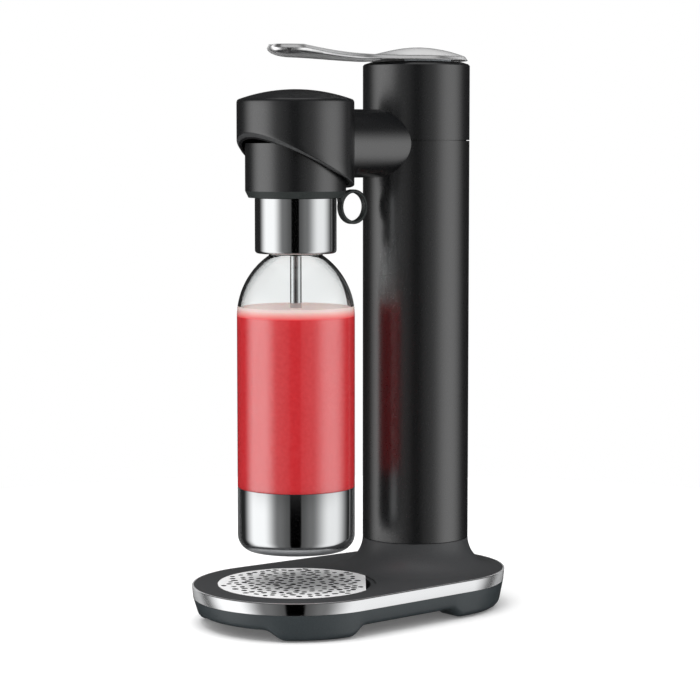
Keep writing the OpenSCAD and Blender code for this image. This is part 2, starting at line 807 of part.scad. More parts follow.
module lever_form() {
    m = 2 * (lever_steps + 1);
    n = len(lever_stations);
    polyhedron(
        [for (f = lever_stations) each lever_section(f)],
        concat(
            end_strips(0, m, false),
            [for (i = [0 : n - 2], k = [0 : m - 1]) each let (a = m * i + k, b = m * i + (k + 1) % m)
                [[a, a + m, b + m], [a, b + m, b]]],
            end_strips(m * (n - 1), m, true)));
}

// Block that carries the pivot and the presser under the lever, widened by a gap
module hub_block(gap) {
    translate([-hub_w / 2 - gap, -5 - gap, hub_low])
        cube([hub_w + 2 * gap, pivot_back + 9 + 2 * gap, hub_top - hub_low + gap]);
}

module lever() { color("#e8eaec") at_tower() difference() { lever_form(); hub_block(seat); } }

module lever_hub() {
    color("#c4c8cb") at_tower() difference() {
        union() {
            hub_block(0);
            bar(rod_r + 1, rod_top + play, hub_low - rod_top);
            translate([-hub_w / 2 + play, pivot_back - 3, pin_z - 1.9])
                cube([hub_w - 2 * play, 6, hub_low - pin_z + 2]);
        }
        translate([-hub_w, pivot_back, pin_z]) along_x() cylinder(r = lever_pin_r + run, h = 2 * hub_w);
    }
}

module lever_pin() {
    reach = hub_w / 2 + play + lug_t + 0.5;
    color("#d8d8d8") at_tower() translate([-reach, pivot_back, pin_z])
        along_x() cylinder(r = lever_pin_r, h = 2 * reach);
}

module lever_bracket() {
    color("#8d9194") at_tower() difference() {
        union() {
            for (side = [1, -1])
                translate([side * (hub_w / 2 + play + lug_t / 2) - lug_t / 2, pivot_back - 4, shelf_z])
                    cube([lug_t, 8, pin_z - shelf_z + 2.4]);
            translate([-hub_w / 2 - 1, pivot_back - 4, shelf_z]) cube([hub_w + 2, 8, 0.7]);
        }
        translate([-2 * hub_w, pivot_back, pin_z]) along_x()
            cylinder(r = lever_pin_r + hair, h = 4 * hub_w);
    }
}

// Section of the arm, drawn in by its wall where it is hollow
module arm_section(inset) {
    half = arm_h / 2 - inset;
    flat = (arm_w - arm_h) / 2;
    for (side = [1, -1]) translate([side * flat, 0]) circle(half);
    square([2 * flat, 2 * half], center = true);
}

module arm_run(inset) {
    translate([0, tower_y, arm_z]) rotate([90, 0, 0]) linear_extrude(throat) arm_section(inset);
}

module arm() {
    color("#232425") difference() {
        arm_run(0);
        at_tower() bar(tower_r + seat, seam_z - arm_h, 2 * arm_h);
        at_bottle() bar(shell_r + seat, seam_z - arm_h, 2 * arm_h);
        difference() {
            arm_run(arm_wall);
            at_tower() bar(tower_r + arm_saddle, seam_z - arm_h, 2 * arm_h);
        }
        arm_holes(arm_screw_r - seat / 2, tower_r - 6, tower_r + arm_saddle + 2);
        tube_hole(gas_tube_r + 1, bottle_y, tower_y);
    }
}

module arm_screws() {
    inside = sqrt(pow(tower_in - spigot_t, 2) - pow(arm_screw_x + 3, 2));
    color("silver") for (side = [1, -1], up = [1, -1])
        translate([side * arm_screw_x, tower_y - inside, arm_z + up * arm_screw_z])
            rotate([90, 0, 0]) {
                cylinder(r = arm_screw_r - seat / 2, h = tower_r + 4 - inside);
                translate([0, 0, -1.8]) cylinder(r = 2 * arm_screw_r, h = 1.8);
            }
}

// Everything above the shell's slanted lip
module above_lip() {
    wide = 2 * shell_r;
    translate([-wide, bottle_y + lip_cy, lip_cz]) along_x() cylinder(r = lip_r, h = 2 * wide, $fn = 240);
}

module head_shell() {
    low = lip_z[2] - 5;
    dome_r = (pow(shell_r - shoulder_round, 2) + crown_h * crown_h) / (2 * crown_h);
    color("#1f2021") difference() {
        intersection() {
            at_bottle() union() {
                bar(shell_r, low, shoulder_z - shoulder_round - low);
                translate([0, 0, shoulder_z - shoulder_round]) rotate_extrude()
                    translate([shell_r - shoulder_round, 0]) intersection() {
                        circle(shoulder_round);
                        square(shoulder_round);
                    }
                bar(shell_r - shoulder_round, low, shoulder_z - low);
                intersection() {
                    translate([0, 0, shoulder_z + crown_h - dome_r]) sphere(dome_r, $fn = 240);
                    bar(shell_r - shoulder_round, low, 2 * dome_r);
                }
            }
            above_lip();
        }
        at_bottle() bar(shell_in, low - 1, core_low + core_h - low + 1);
        tube_hole(gas_tube_r + 1, bottle_y, bottle_y + shell_r + 1);
    }
}

module head_core() {
    color("#33363a") at_bottle() difference() {
        union() {
            bar(core_r, core_low, core_h - seat);
            for (side = [1, -1]) translate([side * (cheek_x + cheek_t / 2) - cheek_t / 2, -5, tilt_z - 4.8])
                cube([cheek_t, 10, core_low - tilt_z + 5.8]);
            intersection() {
                translate([-8, core_r - 11, tilt_z - 5]) cube([16, 20, core_low - tilt_z + 6]);
                bar(core_r, tilt_z - 6, 20);
            }
        }
        translate([-cheek_x - cheek_t - 1, 0, tilt_z]) along_x()
            cylinder(r = tilt_pin_r + hair, h = 2 * (cheek_x + cheek_t + 1));
        translate([0, core_r - tube_in - hair, tube_run_z]) along_y()
            cylinder(r = gas_tube_r + seat, h = 2 * tube_in);
    }
}

module tilt_pins() {
    color("#d8d8d8") translate([0, bottle_y, tilt_z]) for (side = [1, -1])
        translate([side > 0 ? carrier_r - 8 : -cheek_x - cheek_t, 0, 0]) along_x()
            cylinder(r = tilt_pin_r, h = cheek_x + cheek_t - carrier_r + 8);
}

module tilt_carrier() {
    color("#3a3d40") at_bottle() difference() {
        union() {
            bar(carrier_r, carrier_low, carrier_top - carrier_low);
            translate([-cheek_x + play, -6, carrier_low])
                cube([2 * (cheek_x - play), 12, carrier_top - carrier_low]);
        }
        bar(socket_r, carrier_low - 1, nozzle_h + 2.5);
        for (x = [-cheek_x - 1, carrier_r - 9]) translate([x, 0, tilt_z])
            along_x() cylinder(r = tilt_pin_r + run, h = cheek_x + 10 - carrier_r);
    }
}

module carrier_seal() {
    color("#202020") at_bottle() pipe(socket_r - seat, 3, carrier_low + nozzle_h, 1.4);
}

module cap_body() {
    color("#232425") difference() {
        at_bottle() difference() {
            bar(cap_r, cap_low, cap_h);
            bar(cap_r - cap_wall, cap_low - 1, cap_h - 3 + 1);
            bar(infuser_r + seat, cap_low, cap_h + 1);
        }
        translate([0, bottle_y + cap_r - 5, vent_z]) along_y() cylinder(r = vent_r + run, h = 10);
    }
}

module cap_rim() {
    lug_half = ring_w / 2 + play + 2;
    color("#3b3d40") at_bottle() difference() {
        union() {
            bar(cap_r - rim_lean, rim_low, rim_h);
            translate([0, 0, rim_low]) cylinder(r1 = cap_r - rim_lean, r2 = cap_r, h = rim_h);
            for (side = [1, -1]) translate([side * (lug_half - 1) - 1, cap_r - 6, 0]) {
                translate([0, 0, ring_pin_z - 1.8]) cube([2, pin_back - cap_r + 6, 3.6]);
                translate([0, pin_back - cap_r + 6, ring_pin_z]) along_x() cylinder(r = 1.8, h = 2);
            }
        }
        bar(collar_r - collar_wall, rim_low - 1, rim_h + 2);
        translate([-lug_half - 1, pin_back, ring_pin_z]) along_x()
            cylinder(r = ring_pin_r + hair, h = 2 * lug_half + 2);
        translate([-ring_w / 2 - play, pin_back - knuckle_r - play, rim_low - 1])
            cube([ring_w + 2 * play, 20, rim_h + 2]);
    }
}

module cap_collar() {
    straight = collar_h - collar_round;
    color("#e8eaec") at_bottle() translate([0, 0, collar_low]) rotate_extrude() difference() {
        union() {
            translate([0, collar_round]) square([collar_r, straight]);
            square([collar_r - collar_round, collar_h]);
            translate([collar_r - collar_round, collar_round]) circle(collar_round);
        }
        translate([-1, collar_wall]) square([collar_r - collar_wall + 1, collar_h]);
        translate([-1, -1]) square([bottle_neck_r + 1.8, 9]);
    }
}

module cap_sleeve() {
    sleeve_low = collar_low + collar_wall + seat;
    color("#4a4d50") at_bottle() difference() {
        bar(collar_r - collar_wall - seat, sleeve_low, cap_low + 8 - sleeve_low);
        bar(bottle_neck_r + play, collar_low, mouth_top + 2 - collar_low);
        bar(infuser_r + seat, collar_low, 2 * collar_h);
        translate([0, collar_r - 14, vent_z]) along_y() cylinder(r = vent_r + 2.4, h = 20);
    }
}

module cap_seal() {
    color("#6d7073") at_bottle() pipe(bottle_neck_r, bottle_neck_r - 5, mouth_top + seat, 1.8);
}

module gas_nozzle() {
    color("#c4c8cb") at_bottle() pipe(socket_r - play, 1.6, cap_top, nozzle_h - play);
}

module infusion_tube() {
    color("#d5d9dc") at_bottle()
        pipe(infuser_r, infuser_r - infuser_wall, infuser_low, cap_top - infuser_low);
}

module tube_tip() {
    color("#8d9194") at_bottle() difference() {
        union() {
            bar(infuser_r, infuser_low - 6, 6);
            bar(infuser_r - infuser_wall - seat, infuser_low - 1, 6);
        }
        bar(1, infuser_low - 7, 13);
    }
}

module pull_ring() {
    color("#2e3336") at_bottle() difference() {
        union() {
            translate([-ring_w / 2, ring_back, ring_z]) along_x() cylinder(r = ring_r, h = ring_w);
            translate([-ring_w / 2, pin_back, ring_pin_z]) along_x() cylinder(r = knuckle_r, h = ring_w);
            translate([-ring_w / 2, 0, 0]) along_x() linear_extrude(ring_w) polygon([
                [pin_back, ring_pin_z + knuckle_r], [pin_back, ring_pin_z - knuckle_r],
                [ring_back - 9, ring_z], [ring_back - 4, ring_z + ring_r - 2]]);
        }
        translate([-ring_w, ring_back, ring_z]) along_x() cylinder(r = ring_bore, h = 2 * ring_w);
        translate([-ring_w, pin_back, ring_pin_z]) along_x() cylinder(r = ring_pin_r + run, h = 2 * ring_w);
    }
}

module ring_pin() {
    half = ring_w / 2 + play + 2;
    color("#d8d8d8") at_bottle() translate([-half, pin_back, ring_pin_z]) along_x()
        cylinder(r = ring_pin_r, h = 2 * half);
}

module vent_stem() {
    color("#d8d8d8") translate([0, bottle_y + collar_r - vent_in, vent_z]) along_y() {
        cylinder(r = vent_r, h = cap_r + vent_proud - collar_r + vent_in);
        cylinder(r = vent_r + 1.2, h = 1.5);
    }
}

module vent_spring() {
    from = collar_r - 10;
    color("#9a9ea2") translate([0, bottle_y, vent_z]) along_y()
        coil(vent_r + 0.9, 0.6, 4, from, cap_r - cap_wall - seat);
}

// Section of the bottle's outside, drawn in by a margin and filled to the axis
module bottle_section(inset, cup) {
    r = bottle_r - inset;
    low = foot_z + cup;
    corner = foot_corner - cup;
    foot_r = bottle_r - max(inset, cup);
    intersection() {
        union() {
            translate([0, cup_top - seat]) square([r, shoulder_low - cup_top + seat]);
            translate([0, low + corner]) square([foot_r, cup_top - low - corner]);
            translate([0, low]) square([foot_r - corner, corner + 1]);
            translate([foot_r - corner, low + corner]) circle(corner);
            intersection() {
                translate([sweep_x, shoulder_low]) circle(shoulder_sweep - inset, $fn = 240);
                translate([0, shoulder_low - hair]) square([bottle_r, neck_low - shoulder_low + 2 * hair]);
            }
            translate([0, neck_low - 4]) square([bottle_neck_r - inset, bottle_neck_h + 4]);
        }
        translate([0, low]) square([bottle_r, bottle_h]);
    }
}

module bottle_shell() {
    color([0.9, 0.95, 0.97, 0.35]) at_bottle() rotate_extrude() difference() {
        bottle_section(0, cup_wall + seat);
        intersection() {
            bottle_section(bottle_wall, cup_wall + seat + bottle_wall);
            translate([0, foot_z]) square([bottle_r, 2 * bottle_h]);
        }
        translate([-1, mouth_top - 1]) square([bottle_neck_r - bottle_wall + 1, 2]);
    }
}

module bottle_cup() {
    color("#d7dadc") at_bottle() rotate_extrude() difference() {
        intersection() {
            bottle_section(0, 0);
            square([bottle_r, cup_top]);
        }
        bottle_section(0, cup_wall);
        translate([-1, cup_top - 0.2]) square([bottle_r + 2, 1]);
    }
}

// What the bottle holds between two heights, with the infusion tube's hole
module contents(low, high) {
    inset = bottle_wall + seat;
    at_bottle() difference() {
        rotate_extrude() intersection() {
            bottle_section(inset, cup_wall + seat + inset);
            translate([0, low]) square([bottle_r, high - low]);
        }
        bar(infuser_r + play, infuser_low - 6 - play, bottle_h);
    }
}

module drink() { color([0.85, 0.16, 0.18, 0.9]) contents(foot_z, fill_z - foam_h); }
module foam() { color([0.95, 0.6, 0.58, 0.9]) contents(fill_z - foam_h, fill_z); }

base_skirt();
chrome_band();
base_deck();
base_plate();
base_screws();
rubber_feet();
drip_tray();
drip_grille();
tower_tube();
rear_cover();
tower_head();
support_frame();
gas_cylinder();
cylinder_valve();
valve_pin();
valve_block();
valve_seal();
push_rod();
return_spring();
relief_valve();
gas_tube();
tower_screws();
lever();
lever_hub();
lever_pin();
lever_bracket();
arm();
arm_screws();
head_shell();
head_core();
tilt_carrier();
tilt_pins();
carrier_seal();
cap_body();
cap_rim();
cap_collar();
cap_sleeve();
cap_seal();
gas_nozzle();
infusion_tube();
tube_tip();
pull_ring();
ring_pin();
vent_stem();
vent_spring();
bottle_shell();
bottle_cup();
drink();
foam();
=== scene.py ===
"""Sparkling water maker: finishes, turned and swept shells, camera and studio, in the frame's own axes."""
import math

import bmesh
import bpy
from mathutils import Matrix, Vector


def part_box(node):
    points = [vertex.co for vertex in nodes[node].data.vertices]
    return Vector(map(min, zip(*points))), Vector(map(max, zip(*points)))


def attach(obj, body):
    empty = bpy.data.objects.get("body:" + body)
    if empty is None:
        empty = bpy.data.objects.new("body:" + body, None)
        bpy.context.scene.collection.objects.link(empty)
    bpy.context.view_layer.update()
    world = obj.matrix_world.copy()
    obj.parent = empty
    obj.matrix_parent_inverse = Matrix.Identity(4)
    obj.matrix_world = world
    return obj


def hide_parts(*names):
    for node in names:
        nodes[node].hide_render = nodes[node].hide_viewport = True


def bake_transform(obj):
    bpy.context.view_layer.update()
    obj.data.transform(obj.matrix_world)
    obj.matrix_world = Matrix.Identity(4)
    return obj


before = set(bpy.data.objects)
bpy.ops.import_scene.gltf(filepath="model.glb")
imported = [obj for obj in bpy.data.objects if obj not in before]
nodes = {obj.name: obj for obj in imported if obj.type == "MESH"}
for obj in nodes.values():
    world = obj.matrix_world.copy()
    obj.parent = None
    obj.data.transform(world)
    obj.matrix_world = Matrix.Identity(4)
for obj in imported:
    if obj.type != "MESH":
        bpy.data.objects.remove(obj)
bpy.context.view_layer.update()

MM = 0.001
# Points closer than this, in metres, are one point
WELD = 1e-6

# Places that several sections share, in millimetres: the axes of tower and bottle, the bottle's foot, the
# drink's level and the foam's
TOWER_Y, BOTTLE_Y = 62.0, -52.0
FOOT_Z, FOAM_LOW, FILL_Z = 55.0, 224.6, 232.1


# Node and colour helpers

# Most of a noise's values lie between these two
NOISE_LOW, NOISE_HIGH = 0.3, 0.7


def linear(code):
    """An sRGB hex colour as linear RGBA."""
    parts = [int(code[i:i + 2], 16) / 255 for i in (1, 3, 5)]
    return tuple(c / 12.92 if c <= 0.04045 else ((c + 0.055) / 1.055) ** 2.4 for c in parts) + (1.0,)


def grey(level):
    """A light level, without colour."""
    return (level, level, level, 1.0)


def add(tree, kind, values=None, links=None, **settings):
    """One node with its settings, its input values, and links given as {input: (node, output)}."""
    new = tree.nodes.new(kind)
    for name, value in settings.items():
        setattr(new, name, value)
    for key, value in (values or {}).items():
        new.inputs[key].default_value = value
    for key, (source, output) in (links or {}).items():
        tree.links.new(source.outputs[output], new.inputs[key])
    return new


def finish_of(name, **values):
    """A new material with one Principled BSDF; values are its sockets, with _ for a space."""
    made = bpy.data.materials.new(name)
    made.use_nodes = True
    tree = made.node_tree
    shader = tree.nodes["Principled BSDF"]
    for key, value in values.items():
        shader.inputs[key.replace("_", " ")].default_value = value
    return made, tree, shader


def ramp_stops(ramp_node, stops):
    """Sets a colour ramp's stops from (position, colour) pairs."""
    band = ramp_node.color_ramp
    while len(band.elements) > 1:
        band.elements.remove(band.elements[-1])
    band.elements[0].position, band.elements[0].color = stops[0]
    for position, colour in stops[1:]:
        band.elements.new(position).color = colour


def grain(tree, shader, size_mm, depth_mm, rough, detail=3.0, stretch=(1, 1, 1), colours=None):
    """A noise of one real size: bump of a depth, a roughness range and, if given, two colours.

    Returns the node that gives the roughness.
    """
    place = add(tree, "ShaderNodeTexCoord")
    turn = add(tree, "ShaderNodeMapping", {"Scale": stretch}, {"Vector": (place, "Object")})
    noise = add(tree, "ShaderNodeTexNoise", {"Scale": 1 / (size_mm * MM), "Detail": detail},
                {"Vector": (turn, "Vector")})
    spread = add(tree, "ShaderNodeMapRange",
                 {"From Min": NOISE_LOW, "From Max": NOISE_HIGH, "To Min": rough[0], "To Max": rough[1]},
                 {"Value": (noise, "Fac")})
    tree.links.new(spread.outputs["Result"], shader.inputs["Roughness"])
    if depth_mm:
        bump = add(tree, "ShaderNodeBump", {"Strength": 1.0, "Distance": depth_mm * MM},
                   {"Height": (noise, "Fac")})
        tree.links.new(bump.outputs["Normal"], shader.inputs["Normal"])
    if colours:
        tint = add(tree, "ShaderNodeValToRGB", links={"Fac": (noise, "Fac")})
        ramp_stops(tint, [(NOISE_LOW, linear(colours[0])), (NOISE_HIGH, linear(colours[1]))])
        tree.links.new(tint.outputs["Color"], shader.inputs["Base Color"])
    return spread


def haze(tree, shader, start, end, clear, dull):
    """Metal that mirrors face on and turns hazy at a glancing angle: its metallic share falls in between."""
    glance = add(tree, "ShaderNodeLayerWeight", {"Blend": 0.5})
    share = add(tree, "ShaderNodeMapRange",
                {"From Min": start, "From Max": end, "To Min": clear, "To Max": dull},
                {"Value": (glance, "Facing")}, interpolation_type="SMOOTHSTEP")
    tree.links.new(share.outputs["Result"], shader.inputs["Metallic"])


def by_height(tree, start_mm, end_mm, most=1.0, run="LINEAR"):
    """A share that is 0 at one height of the object and reaches its most at another."""
    place = add(tree, "ShaderNodeTexCoord")
    level = add(tree, "ShaderNodeSeparateXYZ", links={"Vector": (place, "Object")})
    return add(tree, "ShaderNodeMapRange",
               {"From Min": start_mm * MM, "From Max": end_mm * MM, "To Max": most},
               {"Value": (level, "Z")}, interpolation_type=run)


# Finishes
# Moulded grain, blasting, polishing lines and bubbles are finer on real pieces, too fine to show in the
# render, so they are drawn as coarse as they need to show

# Powder-coated steel, satin black: fine orange peel that spreads each light into a soft upright band
black_coat, tree, shader = finish_of("powder_coated_steel_satin_black", Base_Color=linear("#0d0e10"),
                                     IOR=1.68, Specular_IOR_Level=1.0)
grain(tree, shader, 1.1, 0.0015, (0.27, 0.3))

# The same coat along the head's lip, rougher and paler: the paler colour is a painted highlight on the
# bevelled edge
lip_highlight_coat, tree, shader = finish_of("powder_coated_steel_painted_highlight_edge", Base_Color=linear("#3f4041"))
grain(tree, shader, 1.1, 0.002, (0.36, 0.48), colours=("#38393a", "#48494a"))

# Moulded ABS with a fine spark-eroded grain: dark grey, with soft highlights where it sweeps up
deck_abs, tree, shader = finish_of("moulded_abs_charcoal", Base_Color=linear("#434446"))
grain(tree, shader, 0.9, 0.01, (0.34, 0.42), colours=("#3f4042", "#474849"))

# Moulded ABS in blue grey, with about the same grain as the deck
skirt_abs, tree, shader = finish_of("moulded_abs_slate", Base_Color=linear("#343b3e"))
grain(tree, shader, 1.0, 0.015, (0.34, 0.44), colours=("#30373a", "#383f42"))

# Moulded nylon for the pull ring, the cap's rim and inner mouldings: dark green grey with a dull sheen
nylon, tree, shader = finish_of("moulded_nylon_dark", Base_Color=linear("#2b302f"))
grain(tree, shader, 0.8, 0.02, (0.38, 0.5), colours=("#272c2b", "#303635"))

# Stainless steel, mirror polished: clear reflections, broken only by faint polishing lines
mirror_steel, tree, shader = finish_of("stainless_steel_polished", Base_Color=linear("#dfe1e2"),
                                       Metallic=1.0)
grain(tree, shader, 6.0, 0, (0.05, 0.09), stretch=(1, 1, 6))

# The same steel rolled to a strip: a little haze, which lightens it where it is seen at a glancing angle
strip_steel, tree, shader = finish_of("stainless_steel_rolled_strip", Base_Color=linear("#e6e7e8"))
grain(tree, shader, 6.0, 0, (0.05, 0.09), stretch=(1, 1, 6))
haze(tree, shader, start=0.45, end=0.7, clear=1.0, dull=0.4)

# Chrome-plated zinc casting: bright plating that mirrors face on and turns pale along the blade
chrome_zinc, tree, shader = finish_of("zinc_casting_chrome_plated", Base_Color=linear("#f7f7f8"))
grain(tree, shader, 4.0, 0, (0.05, 0.08), stretch=(1, 4, 1), colours=("#f3f3f4", "#fcfcfc"))
haze(tree, shader, start=0.4, end=0.8, clear=0.95, dull=0.4)

# Spun stainless cup: polished on its side, satin towards its foot, where it has been buffed less, and darker
# towards its foot as painted shade
SATIN_AND_SHADE_START, SATIN_AND_SHADE_END, SATIN_ROUGH = FOOT_Z + 9.0, FOOT_Z + 1.0, 0.3
POLISHED_TINT, FOOT_SHADE_TINT = linear("#dfe1e2"), linear("#6c6e70")
spun_steel, tree, shader = finish_of("stainless_steel_spun", Base_Color=POLISHED_TINT)
polish = grain(tree, shader, 5.0, 0, (0.05, 0.09), stretch=(1, 1, 8))
haze(tree, shader, start=0.6, end=0.85, clear=1.0, dull=0.78)
satin_and_shade = by_height(tree, SATIN_AND_SHADE_START, SATIN_AND_SHADE_END, SATIN_ROUGH, "SMOOTHSTEP")
rough = add(tree, "ShaderNodeMath", links={0: (polish, "Result"), 1: (satin_and_shade, "Result")}, operation="ADD")
tree.links.new(rough.outputs[0], shader.inputs["Roughness"])
# Painted shade: the base colour darkens towards the foot
tint = add(tree, "ShaderNodeValToRGB", links={"Fac": (satin_and_shade, "Result")})
ramp_stops(tint, [(0.0, POLISHED_TINT), (SATIN_ROUGH, FOOT_SHADE_TINT)])
tree.links.new(tint.outputs["Color"], shader.inputs["Base Color"])

# Stainless steel with a fine brush: reflections drawn out along the brushing
brushed_steel, tree, shader = finish_of("stainless_steel_brushed", Base_Color=linear("#cfd2d3"),
                                        Metallic=1.0)
grain(tree, shader, 2.0, 0.004, (0.2, 0.32), stretch=(1, 12, 12))

# Stainless sheet, pressed and blasted pale: almost white, with a dull sheen
pressed_steel, tree, shader = finish_of("stainless_steel_blasted", Base_Color=linear("#f7f7f7"),
                                        Metallic=0.0)
grain(tree, shader, 1.6, 0.006, (0.34, 0.46), colours=("#f2f2f3", "#fdfdfd"))

# Stainless sheet where it is punched through: dull, and darkened as painted shade so that the drain holes
# look dark
painted_hole_shade, tree, shader = finish_of("stainless_steel_punched_edge", Base_Color=linear("#3a3a3b"),
                                       Metallic=0.4)
grain(tree, shader, 1.0, 0.01, (0.5, 0.7), colours=("#2e2e2f", "#454546"))

# Zinc-plated mild steel for the frame, screws, springs and works: grey, cloudy
plated_steel, tree, shader = finish_of("zinc_plated_steel", Base_Color=linear("#a9adb0"), Metallic=1.0)
grain(tree, shader, 3.0, 0.004, (0.3, 0.45), colours=("#9fa3a6", "#b3b7ba"))

# Painted aluminium of the gas cylinder: pale grey gloss paint with slight waviness
cylinder_paint, tree, shader = finish_of("painted_aluminium_grey", Base_Color=linear("#b9bdc0"),
                                         Coat_Weight=0.4, Coat_Roughness=0.12)
grain(tree, shader, 5.0, 0.01, (0.25, 0.33), colours=("#b4b8bb", "#bec2c5"))

# Machined brass: warm metal with fine turning marks
brass, tree, shader = finish_of("machined_brass", Base_Color=linear("#c9a44a"), Metallic=1.0)
grain(tree, shader, 1.2, 0.006, (0.2, 0.34), stretch=(1, 1, 8), colours=("#bd983f", "#d3b05a"))

# Drawn copper tube: warm red metal, lightly tarnished
copper, tree, shader = finish_of("drawn_copper", Base_Color=linear("#b87a54"), Metallic=1.0)
grain(tree, shader, 4.0, 0.004, (0.24, 0.4), colours=("#a96b48", "#c38860"))

# Moulded nitrile rubber: nearly black, no shine
rubber, tree, shader = finish_of("moulded_nitrile_rubber", Base_Color=linear("#1b1b1c"))
grain(tree, shader, 0.7, 0.03, (0.66, 0.82), colours=("#18181a", "#212123"))

# Blown PET: colourless and clear, with a slight waviness from the mould
clear_pet, tree, shader = finish_of("blown_pet_clear", Base_Color=linear("#fbfdfd"), IOR=1.5,
                                    Transmission_Weight=1.0)
grain(tree, shader, 30.0, 0.02, (0.0, 0.02), detail=0.0)

# Cherry-red cordial, cloudy with pulp: light enters and comes back red, some of it from behind, which is
# given as a faint glow, with a clear skin on top
red_drink, tree, shader = finish_of("red_cordial", Base_Color=linear("#f4353e"), IOR=1.34,
                                    Subsurface_Weight=0.2, Subsurface_Scale=6.0 * MM,
                                    Subsurface_Radius=(1.0, 0.12, 0.12), Coat_Weight=1.0,
                                    Coat_Roughness=0.08, Coat_IOR=2.1, Emission_Color=linear("#ff4a50"),
                                    Emission_Strength=0.22)
grain(tree, shader, 2.4, 0, (0.1, 0.2), colours=("#f0313a", "#f83f47"))

# Foam of fine bubbles: pale at its surface, red where it meets the drink, with the same faint glow that
# stands in for light passed through it
FOAM_PALE = FILL_Z - 1.1
pink_foam, tree, shader = finish_of("fine_bubble_foam", Base_Color=linear("#f6bcc3"), IOR=1.34,
                                    Subsurface_Weight=0.3, Subsurface_Scale=4.0 * MM,
                                    Emission_Strength=0.38)
grain(tree, shader, 2.2, 0.25, (0.3, 0.5))
share = by_height(tree, FOAM_LOW, FOAM_PALE)
tint = add(tree, "ShaderNodeValToRGB", links={"Fac": (share, "Result")})
ramp_stops(tint, [(0.0, linear("#f0555a")), (0.4, linear("#ffa8a2")), (0.9, linear("#ffe8e2"))])
tree.links.new(tint.outputs["Color"], shader.inputs["Base Color"])
tree.links.new(tint.outputs["Color"], shader.inputs["Emission Color"])


# Shape helpers: every size in millimetres

def piece(name, shape, finish, body, slot, *stands_for, sharp=32):
    """A closed mesh from (points, faces): smooth, creased past an angle, riding on a body for its nodes."""
    points, faces = shape
    mesh = bpy.data.meshes.new(name)
    mesh.from_pydata([Vector(p) * MM for p in points], [], faces)
    work = bmesh.new()
    work.from_mesh(mesh)
    bmesh.ops.remove_doubles(work, verts=work.verts, dist=WELD)
    bmesh.ops.recalc_face_normals(work, faces=work.faces)
    work.to_mesh(mesh)
    work.free()
    mesh.shade_smooth()
    mesh.set_sharp_from_angle(angle=math.radians(sharp))
    mesh.materials.append(finish)
    made = bpy.data.objects.new(name, mesh)
    bpy.context.scene.collection.objects.link(made)
    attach(made, body)
    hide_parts(*stands_for)
    return made


def grown(name, start, tree, values):
    """A piece whose plain mesh a node tree makes from a start mesh; values are the tree's named inputs."""
    made = bpy.data.objects.new(name, start)
    bpy.context.scene.collection.objects.link(made)
    maker = made.modifiers.new("maker", "NODES")
    maker.node_group = tree
    for socket in tree.interface.items_tree:
        if socket.in_out == "INPUT" and socket.name in values:
            maker[socket.identifier] = values[socket.name]
    bpy.context.view_layer.update()
    mesh = bpy.data.meshes.new_from_object(made.evaluated_get(bpy.context.evaluated_depsgraph_get()))
    made.modifiers.clear()
    made.data = mesh
    bpy.data.meshes.remove(start)
    return made


def rounded(corners, steps):
    """A closed outline from corners (x, y, radius), each rounded by its radius in some steps."""
    outline = []
    for k, (x, y, radius) in enumerate(corners):
        here = Vector((x, y))
        back = (Vector(corners[k - 1][:2]) - here).normalized()
        onward = (Vector(corners[(k + 1) % len(corners)][:2]) - here).normalized()
        half = back.angle(onward) / 2
        centre = here + (back + onward).normalized() * (radius / math.sin(half))
        first = here + back * (radius / math.tan(half)) - centre
        last = here + onward * (radius / math.tan(half)) - centre
        sweep = first.angle_signed(last)
        for step in range(steps + 1):
            turn = -sweep * step / steps
            outline.append((centre.x + first.x * math.cos(turn) - first.y * math.sin(turn),
                            centre.y + first.x * math.sin(turn) + first.y * math.cos(turn)))
    return outline


def loft(rings, wrap=True):
    """Points and faces between rings of equal length; wrap joins the last ring to the first."""
    count = len(rings[0])
    faces = []
    for k in range(len(rings) if wrap else len(rings) - 1):
        here, onward = k * count, (k + 1) % len(rings) * count
        for n in range(count):
            beside = (n + 1) % count
            faces.append((here + n, onward + n, onward + beside, here + beside))
    return [p for ring in rings for p in ring], faces


def full_turn(count):
    """Equal angles once around."""
    return [2 * math.pi * k / count for k in range(count)]


def around_axis(outline, axis_y, angle):
    """An outline of (radius, height) around an upright axis, at an angle from the front."""
    return [(r * math.sin(angle), axis_y - r * math.cos(angle), z) for r, z in outline]


def turned(outline, axis_y, segments=144):
    """A closed outline of (radius, height), turned around an upright axis."""
    return loft([around_axis(outline, axis_y, a) for a in full_turn(segments)])


def together(*shapes):
    """Several shapes as one."""
    points, faces = [], []
    for more_points, more_faces in shapes:
        faces += [tuple(i + len(points) for i in face) for face in more_faces]
        points += more_points
    return points, faces


def ease(t):
    """An S-shaped rise from 0 to 1."""
    t = min(1.0, max(0.0, t))
    return t * t * (3 - 2 * t)


def blend(a, b, t):
    """From a to b along an S-shaped rise."""
    return a + (b - a) * ease(t)


def half_round(share):
    """Height of a half circle of radius 1 at a share of its radius, and 0 past its edge."""
    return math.sqrt(max(0.0, 1 - share ** 2))


# Base: bright band and skirt, both swept around the same outline of two rounds and two straight sides

FRONT_R, REAR_R, REAR_Y = 76.4, 73.0, 55.4
LEAN = math.asin((FRONT_R - REAR_R) / (REAR_Y - BOTTLE_Y))
SKIRT_TOP, DECK_H = 20.1, 29.0
# How far the band's lower edge is drawn in, and how thick the band is at its top
BAND_INSET, BAND_T = 0.9, 1.4


